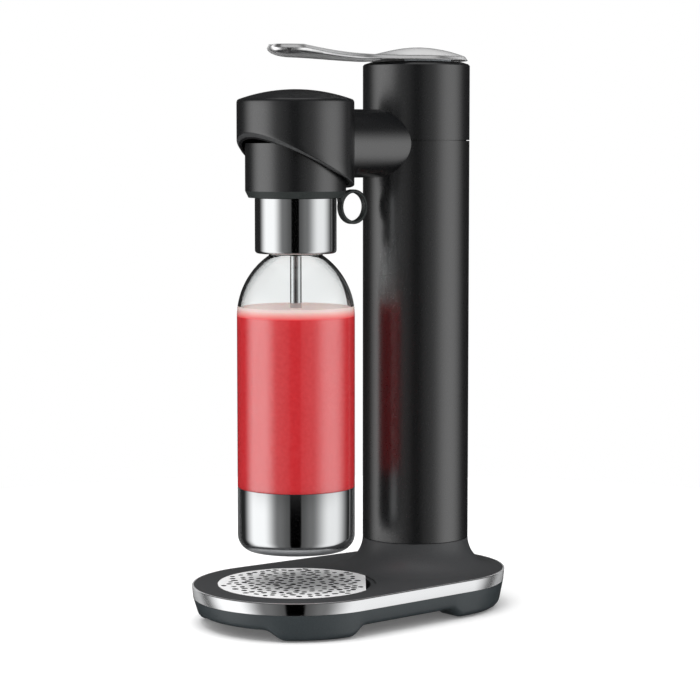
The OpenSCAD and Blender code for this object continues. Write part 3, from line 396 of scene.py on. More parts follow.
def stations(step=1.5):
    """Stations around the base as (angle of the normal, centre y, radius)."""
    around = []
    for start, end, y, r in ((LEAN, math.pi - LEAN, REAR_Y, REAR_R),
                             (math.pi - LEAN, 2 * math.pi + LEAN, BOTTLE_Y, FRONT_R)):
        count = round((end - start) * r / step)
        around.append([(start + (end - start) * k / count, y, r) for k in range(count)])
    length, growth = REAR_Y - BOTTLE_Y, FRONT_R - REAR_R
    count = round(length / step)
    run = [k / count for k in range(count)]
    left = [(math.pi - LEAN, REAR_Y - length * t, REAR_R + growth * t) for t in run]
    right = [(LEAN, BOTTLE_Y + length * t, FRONT_R - growth * t) for t in run]
    return around[0] + left + around[1] + right


def at_station(station, inset, z):
    """The point at a station, drawn in from the outline and at a height."""
    angle, y, r = station
    return ((r - inset) * math.cos(angle), y + (r - inset) * math.sin(angle), z)


band_outline = rounded([(BAND_INSET, SKIRT_TOP, 0.2), (0.0, DECK_H, 0.8), (BAND_T, DECK_H, 0.1),
                        (BAND_T, SKIRT_TOP, 0.1)], 3)
piece("bright_band", loft([[at_station(s, inset, z) for inset, z in band_outline] for s in stations()]),
      strip_steel, "stand", "polished_steel", "chrome_band", sharp=60)

# Arches between the feet: height, half width at each end, reach in y at the sides, and the run up to them,
# which starts a little before the arch
ARCH_H, ARCH_HALF, SIDE_ARCH = 8.0, 54.0, (-56.0, 50.0)
ARCH_RUN, RUN_START = 19.0, 4.0
# The skirt's section: its wall, its underside, and its rounded lower edge at a foot and under an arch
SKIRT_GAP, SKIRT_WALL, UNDER_INSET, UNDER_IN = 0.05, 6.3, 4.6, 26.0
UNDER_TOP, WALL_LOW, FOOT_LOW, FOOT_EDGE, ARCH_EDGE = 12.0, 14.0, 0.6, 7.0, 6.0


def arch_share(station):
    """0 on a foot, 1 under an arch, with an S-shaped run between them."""
    x, y, _ = at_station(station, 0, 0)
    inside_side = min(y - SIDE_ARCH[0], SIDE_ARCH[1] - y)
    inside_end = ARCH_HALF - abs(x)
    return ease((max(inside_side, inside_end) + RUN_START) / ARCH_RUN)


def skirt_outline(share):
    """Section of the skirt: outer face, rounded lower edge, underside and inner wall."""
    low, top = blend(FOOT_LOW, ARCH_H, share), SKIRT_TOP - SKIRT_GAP
    edge = ARCH_EDGE + (FOOT_EDGE - ARCH_EDGE) * (1 - share)
    return rounded([(BAND_INSET, top, 0.3), (UNDER_INSET, low, edge), (UNDER_IN, low, 0.4),
                    (UNDER_IN, UNDER_TOP, 0.2), (SKIRT_WALL, WALL_LOW, 0.2), (SKIRT_WALL, top, 0.2)], 6)


skirt = [[at_station(s, inset, z) for inset, z in skirt_outline(arch_share(s))] for s in stations()]
piece("moulded_skirt", loft(skirt), skirt_abs, "stand", "skirt_grey", "base_skirt", sharp=50)


# Lever: a cast chrome blade, domed and hollow over the tower, low over the arm, scooped at the tip

LEVER_R, LEVER_REACH, EDGE_Z, RIM = 38.3, 135.5, 412.0, 1.5
JOIN, CREST, WAIST, TIP_ROUND = 24.0, 50.0, 62.0, 18.5
PADDLE = LEVER_REACH - TIP_ROUND
WAIST_HALF, WAIST_SLOPE, PADDLE_HALF, DOME, RISE, SCOOP = 13.2, -0.06, 17.0, 7.0, 5.8, 1.5
MOUTH_R, HOLLOW_Z, BLADE_LOW, PADDLE_LOW = 34.5, 413.15, 408.6, 410.2
# The bevel beside the crease: its width, and its most as a share of the half width
BEVEL, BEVEL_SHARE = 2.6, 0.3
# Half width below which rim and edges thin out towards an end
END_HALF = 6.0
# Shares of the half width at which the crowned top and the underside are drawn, closer near the edges
CROWN_AT = (0.15, 0.3, 0.45, 0.6, 0.72, 0.82, 0.9, 0.95, 0.98, 1.0)
UNDER_AT = (0.97, 0.94, 0.9, 0.8, 0.68, 0.52, 0.36, 0.18)
# Points of the rounded crease, out and down from it, and of the brim, in from the side and up from it
CREASE_ROUND = ((0.12, 0.12), (0.2, 0.5))
BRIM_FLAT = 0.4
BRIM_ROUND = ((0.7, 0.95), (0.2, 0.6), (0.0, 0.3), (0.1, 0.1), (BRIM_FLAT, 0.0))
# Spacing of the rings: along the blade, and around the rear and the tip in degrees
RING_STEP, REAR_STEP, TIP_STEP = 1.5, 3, 4


def hermite(x, x0, x1, y0, y1, slope0, slope1):
    """A curve between two points with given slopes."""
    run = x1 - x0
    t = (x - x0) / run
    return blend(y0, y1, t) + run * t * (1 - t) * (slope0 * (1 - t) - slope1 * t)


def tip_share(f):
    """1 at the start of the round tip, 0 at its end."""
    return half_round((f - PADDLE) / TIP_ROUND)


def lever_half(f):
    """Half width of the lever at a distance ahead of the tower's axis."""
    if f < JOIN:
        return math.sqrt(max(0.0, LEVER_R ** 2 - f ** 2))
    chord = math.sqrt(LEVER_R ** 2 - JOIN ** 2)
    if f < WAIST:
        return hermite(f, JOIN, WAIST, chord, WAIST_HALF, -JOIN / chord, WAIST_SLOPE)
    if f < PADDLE:
        return hermite(f, WAIST, PADDLE, WAIST_HALF, PADDLE_HALF, WAIST_SLOPE, 0)
    return PADDLE_HALF * tip_share(f)


def lever_edge(f):
    """Height of the edge's middle, which rises towards the tip."""
    return EDGE_Z + RISE * min(1.0, max(0.0, f / PADDLE)) ** 3


def lever_top(f):
    """Height of the crowned top's middle."""
    if f < 0:
        return EDGE_Z + DOME * (1 - (f / LEVER_R) ** 2)
    if f < CREST:
        return blend(EDGE_Z + DOME, EDGE_Z, f / CREST)
    tip = lever_edge(PADDLE)
    if f < PADDLE:
        return blend(EDGE_Z, tip - SCOOP, (f - CREST) / (PADDLE - CREST))
    return blend(tip - SCOOP, tip, (f - PADDLE) / TIP_ROUND)


def lever_low(f, brim):
    """Height of the underside's middle, which meets the brim at both ends."""
    if f < 0:
        return brim + (HOLLOW_Z - brim) * half_round(f / LEVER_R)
    if f < MOUTH_R:
        return HOLLOW_Z
    if f < CREST:
        return blend(HOLLOW_Z, BLADE_LOW, (f - MOUTH_R) / (CREST - MOUTH_R))
    if f < PADDLE:
        return blend(BLADE_LOW, PADDLE_LOW, (f - CREST) / (PADDLE - CREST))
    return brim - (brim - PADDLE_LOW) * tip_share(f)


def lever_section(f):
    """One ring of the lever: crowned top, crease, slanted bevel, rounded brim and underside."""
    half, edge, top = lever_half(f), lever_edge(f), lever_top(f)
    bevel, small = min(BEVEL, BEVEL_SHARE * half), min(1.0, half / END_HALF)
    crease, brim = edge + RIM * small, edge - RIM * small
    low, flat = lever_low(f, brim), half - BRIM_FLAT * small
    side = [((half - bevel) * u, crease + (top - edge) * (1 - u * u)) for u in CROWN_AT]
    side += [(half - bevel + out * small, crease - down * small) for out, down in CREASE_ROUND]
    side += [(half - inward * small, brim + up * small) for inward, up in BRIM_ROUND]
    side += [(flat * u, brim + (low - brim) * half_round(u)) for u in UNDER_AT]
    ring = [(0.0, crease + top - edge)] + side + [(0.0, low)] + [(-x, z) for x, z in reversed(side)]
    return [(x, TOWER_Y - f, z) for x, z in ring]


reach = [-LEVER_R * math.cos(math.radians(a)) for a in range(0, 90, REAR_STEP)]
reach += [k * RING_STEP for k in range(int(PADDLE / RING_STEP))]
reach += [PADDLE + TIP_ROUND * math.sin(math.radians(a)) for a in range(0, 90, TIP_STEP)] + [LEVER_REACH]
piece("press_lever", loft([lever_section(f) for f in reach], wrap=False), chrome_zinc, "lever",
      "polished_steel", "lever", sharp=24)


# Bottle: blown PET with its drink, foam and steel cup

BOTTLE_R, NECK_R, CUP_TOP, NECK_LOW, BOTTLE_TOP = 42.7, 19.5, 100.9, 268.6, 300.6
# The wall steps in behind the cup; its shoulder is one large arc
WALL, CUP_STEP, STEP_RUN, FOOT_ROUND = 2.2, 1.1, 0.1, 10.9
SWEEP_R = 54.0
SWEEP_X = BOTTLE_R - SWEEP_R
SHOULDER_LOW = NECK_LOW - math.sqrt(SWEEP_R ** 2 - (NECK_R - SWEEP_X) ** 2)
# Rounded edges of the mouth: outside in from the neck, and inside out from the bore, each with its drop
MOUTH_OUTER = ((0.0, 0.8), (0.3, 0.1), (0.8, 0.0))
MOUTH_INNER = ((0.4, 0.0), (0.0, 0.5))
# The cup: sheet, corner with how far it turns, lip with its rounded edge, and the dished foot's ring
CUP_T, CUP_CORNER, CUP_TURN, CUP_STEPS = 0.9, 12.0, math.radians(62), 14
CUP_LIP, LIP_IN, LIP_DROP = CUP_TOP - 0.25, 0.15, 0.35
DISH, FOOT_RING_IN, FOOT_RING_UP = 0.5, 1.2, 0.15
# The drink reaches a hair into the wall, so that no film of air shows between them
SOAK = WALL - 0.15
DRINK_ROUND, FOAM_GAP = 8.8, 0.02
# Bead of foam along the wall: in from the wall and down from the fill level
BEAD_DROP = 1.5
BEAD = ((0.05, 0.4), (1.2, 1.2), (4.0, 1.6))


def shoulder(inset, steps=28):
    """The shoulder's sweep from the straight side up to the neck, drawn in by a margin."""
    r = SWEEP_R - inset
    top = math.acos((NECK_R - inset - SWEEP_X) / r)
    return [(SWEEP_X + r * math.cos(top * k / steps), SHOULDER_LOW + r * math.sin(top * k / steps))
            for k in range(steps + 1)]


def foot(inset, radius):
    """The foot's round corner from the axis out to the side, inside the cup."""
    middle_r, low = BOTTLE_R - CUP_STEP - inset - radius, FOOT_Z + CUP_STEP + inset
    turns = [math.radians(a) for a in range(0, 91, 10)]
    return [(0.0, low)] + [(middle_r + radius * math.sin(a), low + radius * (1 - math.cos(a))) for a in turns]


def cup_outline():
    """Section of the steel cup: foot, corner that stops short of flat, side, lip and inner wall."""
    middle_r, middle_z = BOTTLE_R - CUP_CORNER, FOOT_Z + CUP_CORNER * math.sin(CUP_TURN)
    turns = [CUP_TURN * (1 - k / CUP_STEPS) for k in range(CUP_STEPS + 1)]
    inner = CUP_CORNER - CUP_T
    ring_r = middle_r + CUP_CORNER * math.cos(CUP_TURN) - FOOT_RING_IN
    line = [(0.0, FOOT_Z + DISH), (ring_r, FOOT_Z + FOOT_RING_UP)]
    line += [(middle_r + CUP_CORNER * math.cos(a), middle_z - CUP_CORNER * math.sin(a)) for a in turns]
    line += [(BOTTLE_R, CUP_LIP - LIP_DROP), (BOTTLE_R - LIP_IN, CUP_LIP), (BOTTLE_R - CUP_T, CUP_LIP)]
    line += [(middle_r + inner * math.cos(a), middle_z - inner * math.sin(a)) for a in reversed(turns)]
    return line + [(middle_r, FOOT_Z + CUP_T), (0.0, FOOT_Z + CUP_T)]


piece("steel_cup", turned(cup_outline(), BOTTLE_Y), spun_steel, "bottle", "polished_steel", "bottle_cup")

outside = foot(0.0, FOOT_ROUND) + [(BOTTLE_R - CUP_STEP, CUP_TOP - STEP_RUN), (BOTTLE_R, CUP_TOP)]
outside += shoulder(0.0) + [(NECK_R - inward, BOTTLE_TOP - down) for inward, down in MOUTH_OUTER]
inside = [(NECK_R - WALL + out, BOTTLE_TOP - down) for out, down in MOUTH_INNER]
inside += shoulder(WALL)[::-1] + foot(WALL, FOOT_ROUND - WALL)[::-1]
piece("bottle_wall", turned(outside + inside, BOTTLE_Y), clear_pet, "bottle", "clear_bottle",
      "bottle_shell")

drink_r = BOTTLE_R - SOAK
drink_line = foot(SOAK, DRINK_ROUND) + [(drink_r, CUP_TOP), (drink_r, FOAM_LOW), (0.0, FOAM_LOW)]
piece("cordial", turned(drink_line, BOTTLE_Y), red_drink, "bottle", "red_drink", "drink")

rise = [p for p in shoulder(SOAK) if FOAM_LOW < p[1] < FILL_Z - BEAD_DROP]
foam_line = [(0.0, FOAM_LOW + FOAM_GAP), (drink_r, FOAM_LOW + FOAM_GAP)] + rise
foam_line += [(rise[-1][0] - inward, FILL_Z - down) for inward, down in BEAD]
foam_line.append((0.0, foam_line[-1][1]))
piece("foam_head", turned(foam_line, BOTTLE_Y), pink_foam, "bottle", "pink_foam", "foam")


# Head: shell with a domed crown and a slanted lip, whose edge is bevelled

SHELL_R, SHELL_IN, SHOULDER_Z, SHOULDER_R, CROWN_H, CAVITY_TOP = 42.35, 38.45, 380.9, 2.8, 6.8, 376.0
# The lip follows a large arc seen from the side; its bevel is widest at the front
LIP_R, LIP_Y, LIP_Z, LIP_LIFT = 272.4, 110.04, 580.2, 0.15
LIP_BEVEL, BEVEL_SWING = 1.1, 0.7
# Rounded edges of the lip: inside as (out, up) in millimetres, outside as (in, up) in widths of the bevel
LIP_INNER = ((0.0, 0.5), (0.4, LIP_LIFT))
LIP_OUTER = ((0.2, 1.0), (0.05, 1.2), (0.0, 1.4))
SHELL_SEGMENTS, SIDE_STEPS, DOME_STEPS = 192, 6, 14


def lip_height(r, angle):
    """Height of the slanted lip at a radius and an angle from the front."""
    return LIP_Z - math.sqrt(LIP_R ** 2 - (-r * math.cos(angle) - LIP_Y) ** 2)


def lip_bevel(angle):
    """Width of the lip's bevel: widest at the front, almost square at the rear."""
    return LIP_BEVEL + BEVEL_SWING * math.cos(angle)


def shell_outline(angle):
    """Section of the shell: inner wall, lip with a bevel, side, round shoulder and dome."""
    inner, outer, bevel = lip_height(SHELL_IN, angle), lip_height(SHELL_R, angle), lip_bevel(angle)
    line = [(0.0, CAVITY_TOP), (SHELL_IN, CAVITY_TOP)]
    line += [(SHELL_IN + out, inner + up) for out, up in LIP_INNER]
    line.append((SHELL_R - bevel, lip_height(SHELL_R - bevel, angle) + LIP_LIFT))
    line += [(SHELL_R - inward * bevel, outer + up * bevel) for inward, up in LIP_OUTER]
    side = SHOULDER_Z - SHOULDER_R - outer
    line += [(SHELL_R, outer + side * k / SIDE_STEPS) for k in range(1, SIDE_STEPS + 1)]
    for turn in (15, 30, 45, 60):
        a = math.radians(turn)
        line.append((SHELL_R - SHOULDER_R * (1 - math.cos(a)), SHOULDER_Z - SHOULDER_R * (1 - math.sin(a))))
    edge_r, edge_z = line[-1]
    top = SHOULDER_Z + CROWN_H
    rise = top - edge_z
    dome_r = (edge_r ** 2 + rise ** 2) / (2 * rise)
    for k in range(1, DOME_STEPS + 1):
        r = edge_r * math.cos(math.pi / 2 * k / DOME_STEPS)
        line.append((max(0.0, r), top - dome_r + math.sqrt(dome_r ** 2 - r ** 2)))
    return line


shell = loft([around_axis(shell_outline(a), BOTTLE_Y, a) for a in full_turn(SHELL_SEGMENTS)])
head = piece("domed_head", shell, black_coat, "stand", "black_coat", "head_shell", sharp=28)
head.data.materials.append(lip_highlight_coat)
# Faces on the lip's bevel take the paler coat, a painted highlight along the edge
for face in head.data.polygons:
    x, y, z = face.center / MM
    r, angle = math.hypot(x, y - BOTTLE_Y), math.atan2(x, BOTTLE_Y - y)
    if r > SHELL_R - lip_bevel(angle) and z < lip_height(SHELL_R, angle) + lip_bevel(angle):
        face.material_index = 1


# Pull ring: moulded, with rounded edges and a tab up to its pin

RING_Y, RING_Z, RING_R, RING_BORE, RING_HALF, RING_EDGE = 0.6, 302.7, 12.75, 10.2, 2.7, 0.9
PIN_Y, PIN_Z, PIN_BORE, KNUCKLE_R, BORE_EDGE, KNUCKLE_EDGE = -14.0, 312.3, 1.05, 2.4, 0.2, 0.6
# The tab runs from beside the pin to an arc inside the ring, and is a little thinner than the ring
TAB_FROM_PIN, TAB_HALF, TAB_ROOT_R, TAB_THINNER, TAB_EDGE = 1.3, 1.9, 11.4, 0.1, 0.5
# A bevel's middle point, as a share of its width
BEVEL_MIDDLE = 0.3


def swept_ring(y, z, section, segments=72):
    """A ring around an axis along X: section points are (radius, x)."""
    return loft([[(x, y + r * math.cos(a), z + r * math.sin(a)) for r, x in section]
                 for a in full_turn(segments)])


def ring_section(bore, bore_edge, outer, outer_edge):
    """Section of a ring as wide as the pull ring, with rounded edges at its bore and outside."""
    return rounded([(bore, -RING_HALF, bore_edge), (outer, -RING_HALF, outer_edge),
                    (outer, RING_HALF, outer_edge), (bore, RING_HALF, bore_edge)], 4)


def cushion(outline, half, bevel):
    """A closed outline of (y, z), thick along X from -half to half, with bevelled edges."""
    middle = Vector((sum(p[0] for p in outline), sum(p[1] for p in outline))) / len(outline)
    near = BEVEL_MIDDLE * bevel
    rings = []
    for x, inset in ((-half, bevel), (-half + near, near), (-half + bevel, 0), (half - bevel, 0),
                     (half - near, near), (half, bevel)):
        drawn = [Vector(p) + (middle - Vector(p)).normalized() * inset for p in outline]
        rings.append([(x, p.x, p.y) for p in drawn])
    points, faces = loft(rings, wrap=False)
    first, last = range(len(outline)), range(len(points) - len(outline), len(points))
    return points, faces + [tuple(first), tuple(last)]


loop = swept_ring(RING_Y, RING_Z, ring_section(RING_BORE, RING_EDGE, RING_R, RING_EDGE))
eye = swept_ring(PIN_Y, PIN_Z, ring_section(PIN_BORE, BORE_EDGE, KNUCKLE_R, KNUCKLE_EDGE), 32)
root = [(RING_Y + TAB_ROOT_R * math.cos(math.radians(a)), RING_Z + TAB_ROOT_R * math.sin(math.radians(a)))
        for a in range(180, 110, -5)]
tab = [(PIN_Y + TAB_FROM_PIN, PIN_Z + TAB_HALF), (PIN_Y + TAB_FROM_PIN, PIN_Z - TAB_HALF)] + root
piece("finger_ring", together(loop, eye, cushion(tab, RING_HALF - TAB_THINNER, TAB_EDGE)), nylon, "ring",
      "dark_plastic", "pull_ring")


# Drip grille: pale plate whose drain holes are scattered by a node tree

GRILLE_R, GRILLE_FLAT, GRILLE_TURN, GRILLE_LOW, GRILLE_T = 57.5, 50.6, math.radians(38.7), 28.0, 1.0
ARC_STEPS = 120
# Drain holes: least spacing, radius, plain border, and the least and most scale of a hole in x, y and z
HOLE_SPACING, HOLE_R, HOLE_BORDER, HOLE_SEED = 5.6, 2.42, 3.6, 7
LEAST_SCALE, MOST_SCALE = (0.76, 0.72, 1.0), (1.15, 1.0, 1.0)
# Tries for holes per square metre, enough to fill the plate at that spacing
HOLE_DENSITY = 600000.0


def new_tree(name, inputs, output):
    """An empty node tree with named inputs, as (name, kind) pairs, and one geometry output."""
    tree = bpy.data.node_groups.new(name, "GeometryNodeTree")
    for given, kind in inputs:
        tree.interface.new_socket(given, in_out="INPUT", socket_type="NodeSocket" + kind)
    tree.interface.new_socket(output, in_out="OUTPUT", socket_type="NodeSocketGeometry")
    return tree


def plate_tree():
    """Node tree: an outline becomes a plate with a plain border and scattered round and oval holes."""
    tree = new_tree("perforated_plate", (
        ("Outline", "Geometry"), ("Spacing", "Float"), ("Hole Radius", "Float"), ("Border", "Float"),
        ("Thickness", "Float"), ("Height", "Float"), ("Seed", "Int"), ("Finish", "Material"),
        ("Hole Shade Finish", "Material")), "Plate")
    given = add(tree, "NodeGroupInput")
    edge = add(tree, "GeometryNodeMeshToCurve", links={"Mesh": (given, "Outline")})
    sheet = add(tree, "GeometryNodeFillCurve", links={"Curve": (edge, "Curve")})
    spots = add(tree, "GeometryNodeDistributePointsOnFaces", {"Density Max": HOLE_DENSITY},
                {"Mesh": (sheet, "Mesh"), "Distance Min": (given, "Spacing"), "Seed": (given, "Seed")},
                distribute_method="POISSON")
    near = add(tree, "GeometryNodeProximity", links={"Target": (given, "Outline")}, target_element="EDGES")
    close = add(tree, "FunctionNodeCompare", links={"A": (near, "Distance"), "B": (given, "Border")},
                operation="LESS_THAN")
    inside = add(tree, "GeometryNodeDeleteGeometry",
                 links={"Geometry": (spots, "Points"), "Selection": (close, "Result")})
    hole = add(tree, "GeometryNodeCurvePrimitiveCircle", {"Resolution": 16},
               {"Radius": (given, "Hole Radius")})
    size = add(tree, "FunctionNodeRandomValue", {0: LEAST_SCALE, 1: MOST_SCALE}, {"Seed": (given, "Seed")},
               data_type="FLOAT_VECTOR")
    turn = add(tree, "FunctionNodeRandomValue", {0: (0.0, 0.0, 0.0), 1: (0.0, 0.0, math.pi)},
               {"Seed": (given, "Seed")}, data_type="FLOAT_VECTOR")
    holes = add(tree, "GeometryNodeInstanceOnPoints",
                links={"Points": (inside, "Geometry"), "Instance": (hole, "Curve"),
                       "Scale": (size, "Value"), "Rotation": (turn, "Value")})
    drawn = add(tree, "GeometryNodeRealizeInstances", links={"Geometry": (holes, "Instances")})
    lines = add(tree, "GeometryNodeJoinGeometry", links={"Geometry": (drawn, "Geometry")})
    tree.links.new(edge.outputs["Curve"], lines.inputs["Geometry"])
    face = add(tree, "GeometryNodeFillCurve", links={"Curve": (lines, "Geometry")})
    lift = add(tree, "ShaderNodeCombineXYZ", links={"Z": (given, "Height")})
    placed = add(tree, "GeometryNodeTransform",
                 links={"Geometry": (face, "Mesh"), "Translation": (lift, 0)})
    raised = add(tree, "GeometryNodeExtrudeMesh", {"Offset": (0, 0, 1), "Individual": False},
                 {"Mesh": (placed, "Geometry"), "Offset Scale": (given, "Thickness")})
    under = add(tree, "GeometryNodeFlipFaces", links={"Mesh": (placed, "Geometry")})
    both = add(tree, "GeometryNodeJoinGeometry", links={"Geometry": (raised, "Mesh")})
    tree.links.new(under.outputs["Mesh"], both.inputs["Geometry"])
    whole = add(tree, "GeometryNodeMergeByDistance", {"Distance": WELD}, {"Geometry": (both, "Geometry")})
    # Walls of the holes: sides that lie away from the plate's own edge, which take the dark hole finish as
    # painted shade
    border = add(tree, "GeometryNodeTransform",
                 links={"Geometry": (given, "Outline"), "Translation": (lift, 0)})
    apart = add(tree, "GeometryNodeProximity", links={"Target": (border, "Geometry")},
                target_element="EDGES")
    away = add(tree, "FunctionNodeCompare", links={"A": (apart, "Distance"), "B": (given, "Thickness")},
               operation="GREATER_THAN")
    walls = add(tree, "FunctionNodeBooleanMath", links={0: (raised, "Side"), 1: (away, "Result")},
                operation="AND")
    real = add(tree, "GeometryNodeRealizeInstances", links={"Geometry": (whole, "Geometry")})
    bright = add(tree, "GeometryNodeSetMaterial",
                 links={"Geometry": (real, "Geometry"), "Material": (given, "Finish")})
    dressed = add(tree, "GeometryNodeSetMaterial",
                  links={"Geometry": (bright, "Geometry"), "Selection": (walls, "Boolean"),
                         "Material": (given, "Hole Shade Finish")})
    add(tree, "NodeGroupOutput", links={"Plate": (dressed, "Geometry")})
    return tree


# The outline is a round with one straight edge, turned from the rear towards +X
chord = math.acos(GRILLE_FLAT / GRILLE_R)
arc = [GRILLE_TURN + chord + 2 * (math.pi - chord) * k / ARC_STEPS for k in range(ARC_STEPS + 1)]
rim = [Vector((GRILLE_R * math.sin(a), BOTTLE_Y + GRILLE_R * math.cos(a), 0)) * MM for a in arc]
outline = bpy.data.meshes.new("grille_outline")
outline.from_pydata(rim, [(k, (k + 1) % len(rim)) for k in range(len(rim))], [])
# The walls of the drain holes take a dark finish, a painted shade inside the holes
grille = grown("perforated_grille", outline, plate_tree(), {
    "Spacing": HOLE_SPACING * MM, "Hole Radius": HOLE_R * MM, "Border": HOLE_BORDER * MM,
    "Thickness": GRILLE_T * MM, "Height": GRILLE_LOW * MM, "Seed": HOLE_SEED, "Finish": pressed_steel,
    "Hole Shade Finish": painted_hole_shade})
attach(grille, "grille")
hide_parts("drip_grille")


# Springs of the push rod and the vent: coiled wire

RETURN_WIRE, RETURN_TURNS, VENT_WIRE, VENT_TURNS = 0.9, 3.0, 0.6, 4.0
# Turns from Z to each spring's axis: the return spring stands upright, the vent's lies along Y
UPRIGHT, LYING = Matrix.Identity(3), Matrix.Rotation(math.radians(-90), 3, "X")


def coil_tree():
    """Node tree: a round wire wound along Z, from the origin up."""
    tree = new_tree("wound_wire", (("Turns", "Float"), ("Radius", "Float"), ("Length", "Float"),
                                   ("Wire Radius", "Float"), ("Finish", "Material")), "Coil")
    given = add(tree, "NodeGroupInput")
    path = add(tree, "GeometryNodeCurveSpiral", {"Resolution": 40},
               {"Rotations": (given, "Turns"), "Start Radius": (given, "Radius"),
                "End Radius": (given, "Radius"), "Height": (given, "Length")})
    section = add(tree, "GeometryNodeCurvePrimitiveCircle", {"Resolution": 12},
                  {"Radius": (given, "Wire Radius")})
    wire = add(tree, "GeometryNodeCurveToMesh", {"Fill Caps": True},
               {"Curve": (path, "Curve"), "Profile Curve": (section, "Curve")})
    real = add(tree, "GeometryNodeRealizeInstances", links={"Geometry": (wire, "Mesh")})
    dressed = add(tree, "GeometryNodeSetMaterial",
                  links={"Geometry": (real, "Geometry"), "Material": (given, "Finish")})
    add(tree, "NodeGroupOutput", links={"Coil": (dressed, "Geometry")})
    return tree


def spring(name, node, wire, turns, turn):
    """A coil in the box of a spring's node, turned from Z to its axis.
    """
    low, high = (Vector(corner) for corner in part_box(node))
    axis = (turn @ Vector((0, 0, 1))).normalized()
    length = abs((high - low).dot(axis)) - wire * MM
    made = grown(name, bpy.data.meshes.new("wire_start"), coil_tree(), {
        "Turns": turns, "Radius": (high.x - low.x - wire * MM) / 2, "Length": length,
        "Wire Radius": wire * MM / 2, "Finish": plated_steel})
    middle = (low + high) / 2
    ends = [middle - axis * length / 2, middle + axis * length / 2]
    made.data.transform(Matrix.Translation(ends[0]) @ turn.to_4x4())
    made.data.shade_smooth()
    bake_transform(made)
    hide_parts(node)


spring("return_coil", "return_spring", RETURN_WIRE, RETURN_TURNS, UPRIGHT)
spring("vent_coil", "vent_spring", VENT_WIRE, VENT_TURNS, LYING)


# Finish of each solid that shows as it is

FINISHES = {
    black_coat: ["tower_tube", "rear_cover", "tower_head", "arm", "cap_body"],
    deck_abs: ["base_deck", "base_plate", "drip_tray"],
    nylon: ["cap_rim", "head_core", "tilt_carrier", "cap_sleeve"],
    mirror_steel: ["cap_collar", "infusion_tube"],
    brushed_steel: ["tube_tip", "gas_nozzle"],
    plated_steel: ["base_screws", "support_frame", "valve_pin", "valve_block", "push_rod", "tower_screws",
                   "lever_hub", "lever_pin", "lever_bracket", "arm_screws", "tilt_pins", "ring_pin",
                   "vent_stem"],
    cylinder_paint: ["gas_cylinder"],
    brass: ["cylinder_valve", "relief_valve"],
    copper: ["gas_tube"],
    rubber: ["rubber_feet", "valve_seal", "carrier_seal", "cap_seal"],
}
for made, names in FINISHES.items():
    for name in names:
        nodes[name].data.materials.clear()
        nodes[name].data.materials.append(made)


# Studio: lengths in metres

# The camera stands in front of the right-hand side and looks slightly down
CAMERA_AT, YAW, PITCH = (1.2745, -1.0287, 0.3451), math.radians(141.139), math.radians(5.168)
SENSOR_MM, LENS_MM = 36.0, 114.4
TOWARDS_CAMERA = -Vector((math.cos(YAW), math.sin(YAW), 0.0))
lens = bpy.data.cameras.new("studio_camera")
lens.sensor_width, lens.lens = SENSOR_MM, LENS_MM
lens.clip_start, lens.clip_end = 0.05, 100.0
camera = bpy.data.objects.new("studio_camera", lens)
bpy.context.scene.collection.objects.link(camera)
camera.location = CAMERA_AT
gaze = -TOWARDS_CAMERA * math.cos(PITCH) - Vector((0, 0, math.sin(PITCH)))
camera.rotation_euler = gaze.to_track_quat("-Z", "Y").to_euler()
bpy.context.scene.camera = camera

# Studio light by compass direction, in degrees from the camera: dark behind the camera, a weak fill that
# grows towards a soft box at each side, and dark again behind the object
GAP, GAP_EDGE, EDGE_LEVEL, FILL_LEVEL, REAR_LEVEL = 10.0, 2.0, 0.07, 0.13, 0.015
# Each box: its direction, half its width, how softly it starts and ends, and its level
LEFT_BOX, RIGHT_BOX = (77.0, 11.0, 32.0, 34.0, 0.85), (76.0, 6.0, 38.0, 42.0, 0.7)
# The boxes fade out upwards and downwards between two heights of the direction, to a low level, and a
# dim lid closes the room overhead
FADE_UP, FADE_DOWN, FADED_LEVEL = (0.0, 0.6), (-0.5, -0.95), 0.03
LID, LID_LEVEL = (0.82, 0.95), 0.28
MATT_LIGHT, MIRRORED_LIGHT = 0.9, 1.5
FLOOR_R, FLOOR_SIDES, FLOOR_GLOW = 0.7, 72, 0.1
LAMP_AT, LAMP_AIM, LAMP_SIZE, LAMP_WATTS = (0.1, -0.5, 1.6), (0, 0, 0.2), 1.2, 16.0


def soft_boxes():
    """Light levels around the compass, with a soft box on each side of the camera."""
    sides = []
    for at, half, start, end, level in (LEFT_BOX, RIGHT_BOX):
        sides.append([(GAP, 0.0), (GAP + GAP_EDGE, EDGE_LEVEL), (at - half - start, FILL_LEVEL),
                      (at - half, level), (at + half, level), (at + half + end, REAR_LEVEL),
                      (180.0, REAR_LEVEL)])
    return [(-turn, level) for turn, level in reversed(sides[0])] + sides[1]


def compass(tree, way):
    """Studio light in the world's direction, by its compass angle from the camera, as a colour."""
    right = Vector((-TOWARDS_CAMERA.y, TOWARDS_CAMERA.x, 0))
    ahead = add(tree, "ShaderNodeVectorMath", {1: TOWARDS_CAMERA}, {0: (way, "Generated")},
                operation="DOT_PRODUCT")
    aside = add(tree, "ShaderNodeVectorMath", {1: right}, {0: (way, "Generated")}, operation="DOT_PRODUCT")
    angle = add(tree, "ShaderNodeMath", links={0: (aside, "Value"), 1: (ahead, "Value")},
                operation="ARCTAN2")
    share = add(tree, "ShaderNodeMapRange", {"From Min": -math.pi, "From Max": math.pi},
                {"Value": (angle, 0)})
    light = add(tree, "ShaderNodeValToRGB", links={"Fac": (share, "Result")})
    light.color_ramp.interpolation = "EASE"
    ramp_stops(light, [((turn + 180) / 360, grey(level)) for turn, level in soft_boxes()])
    return light


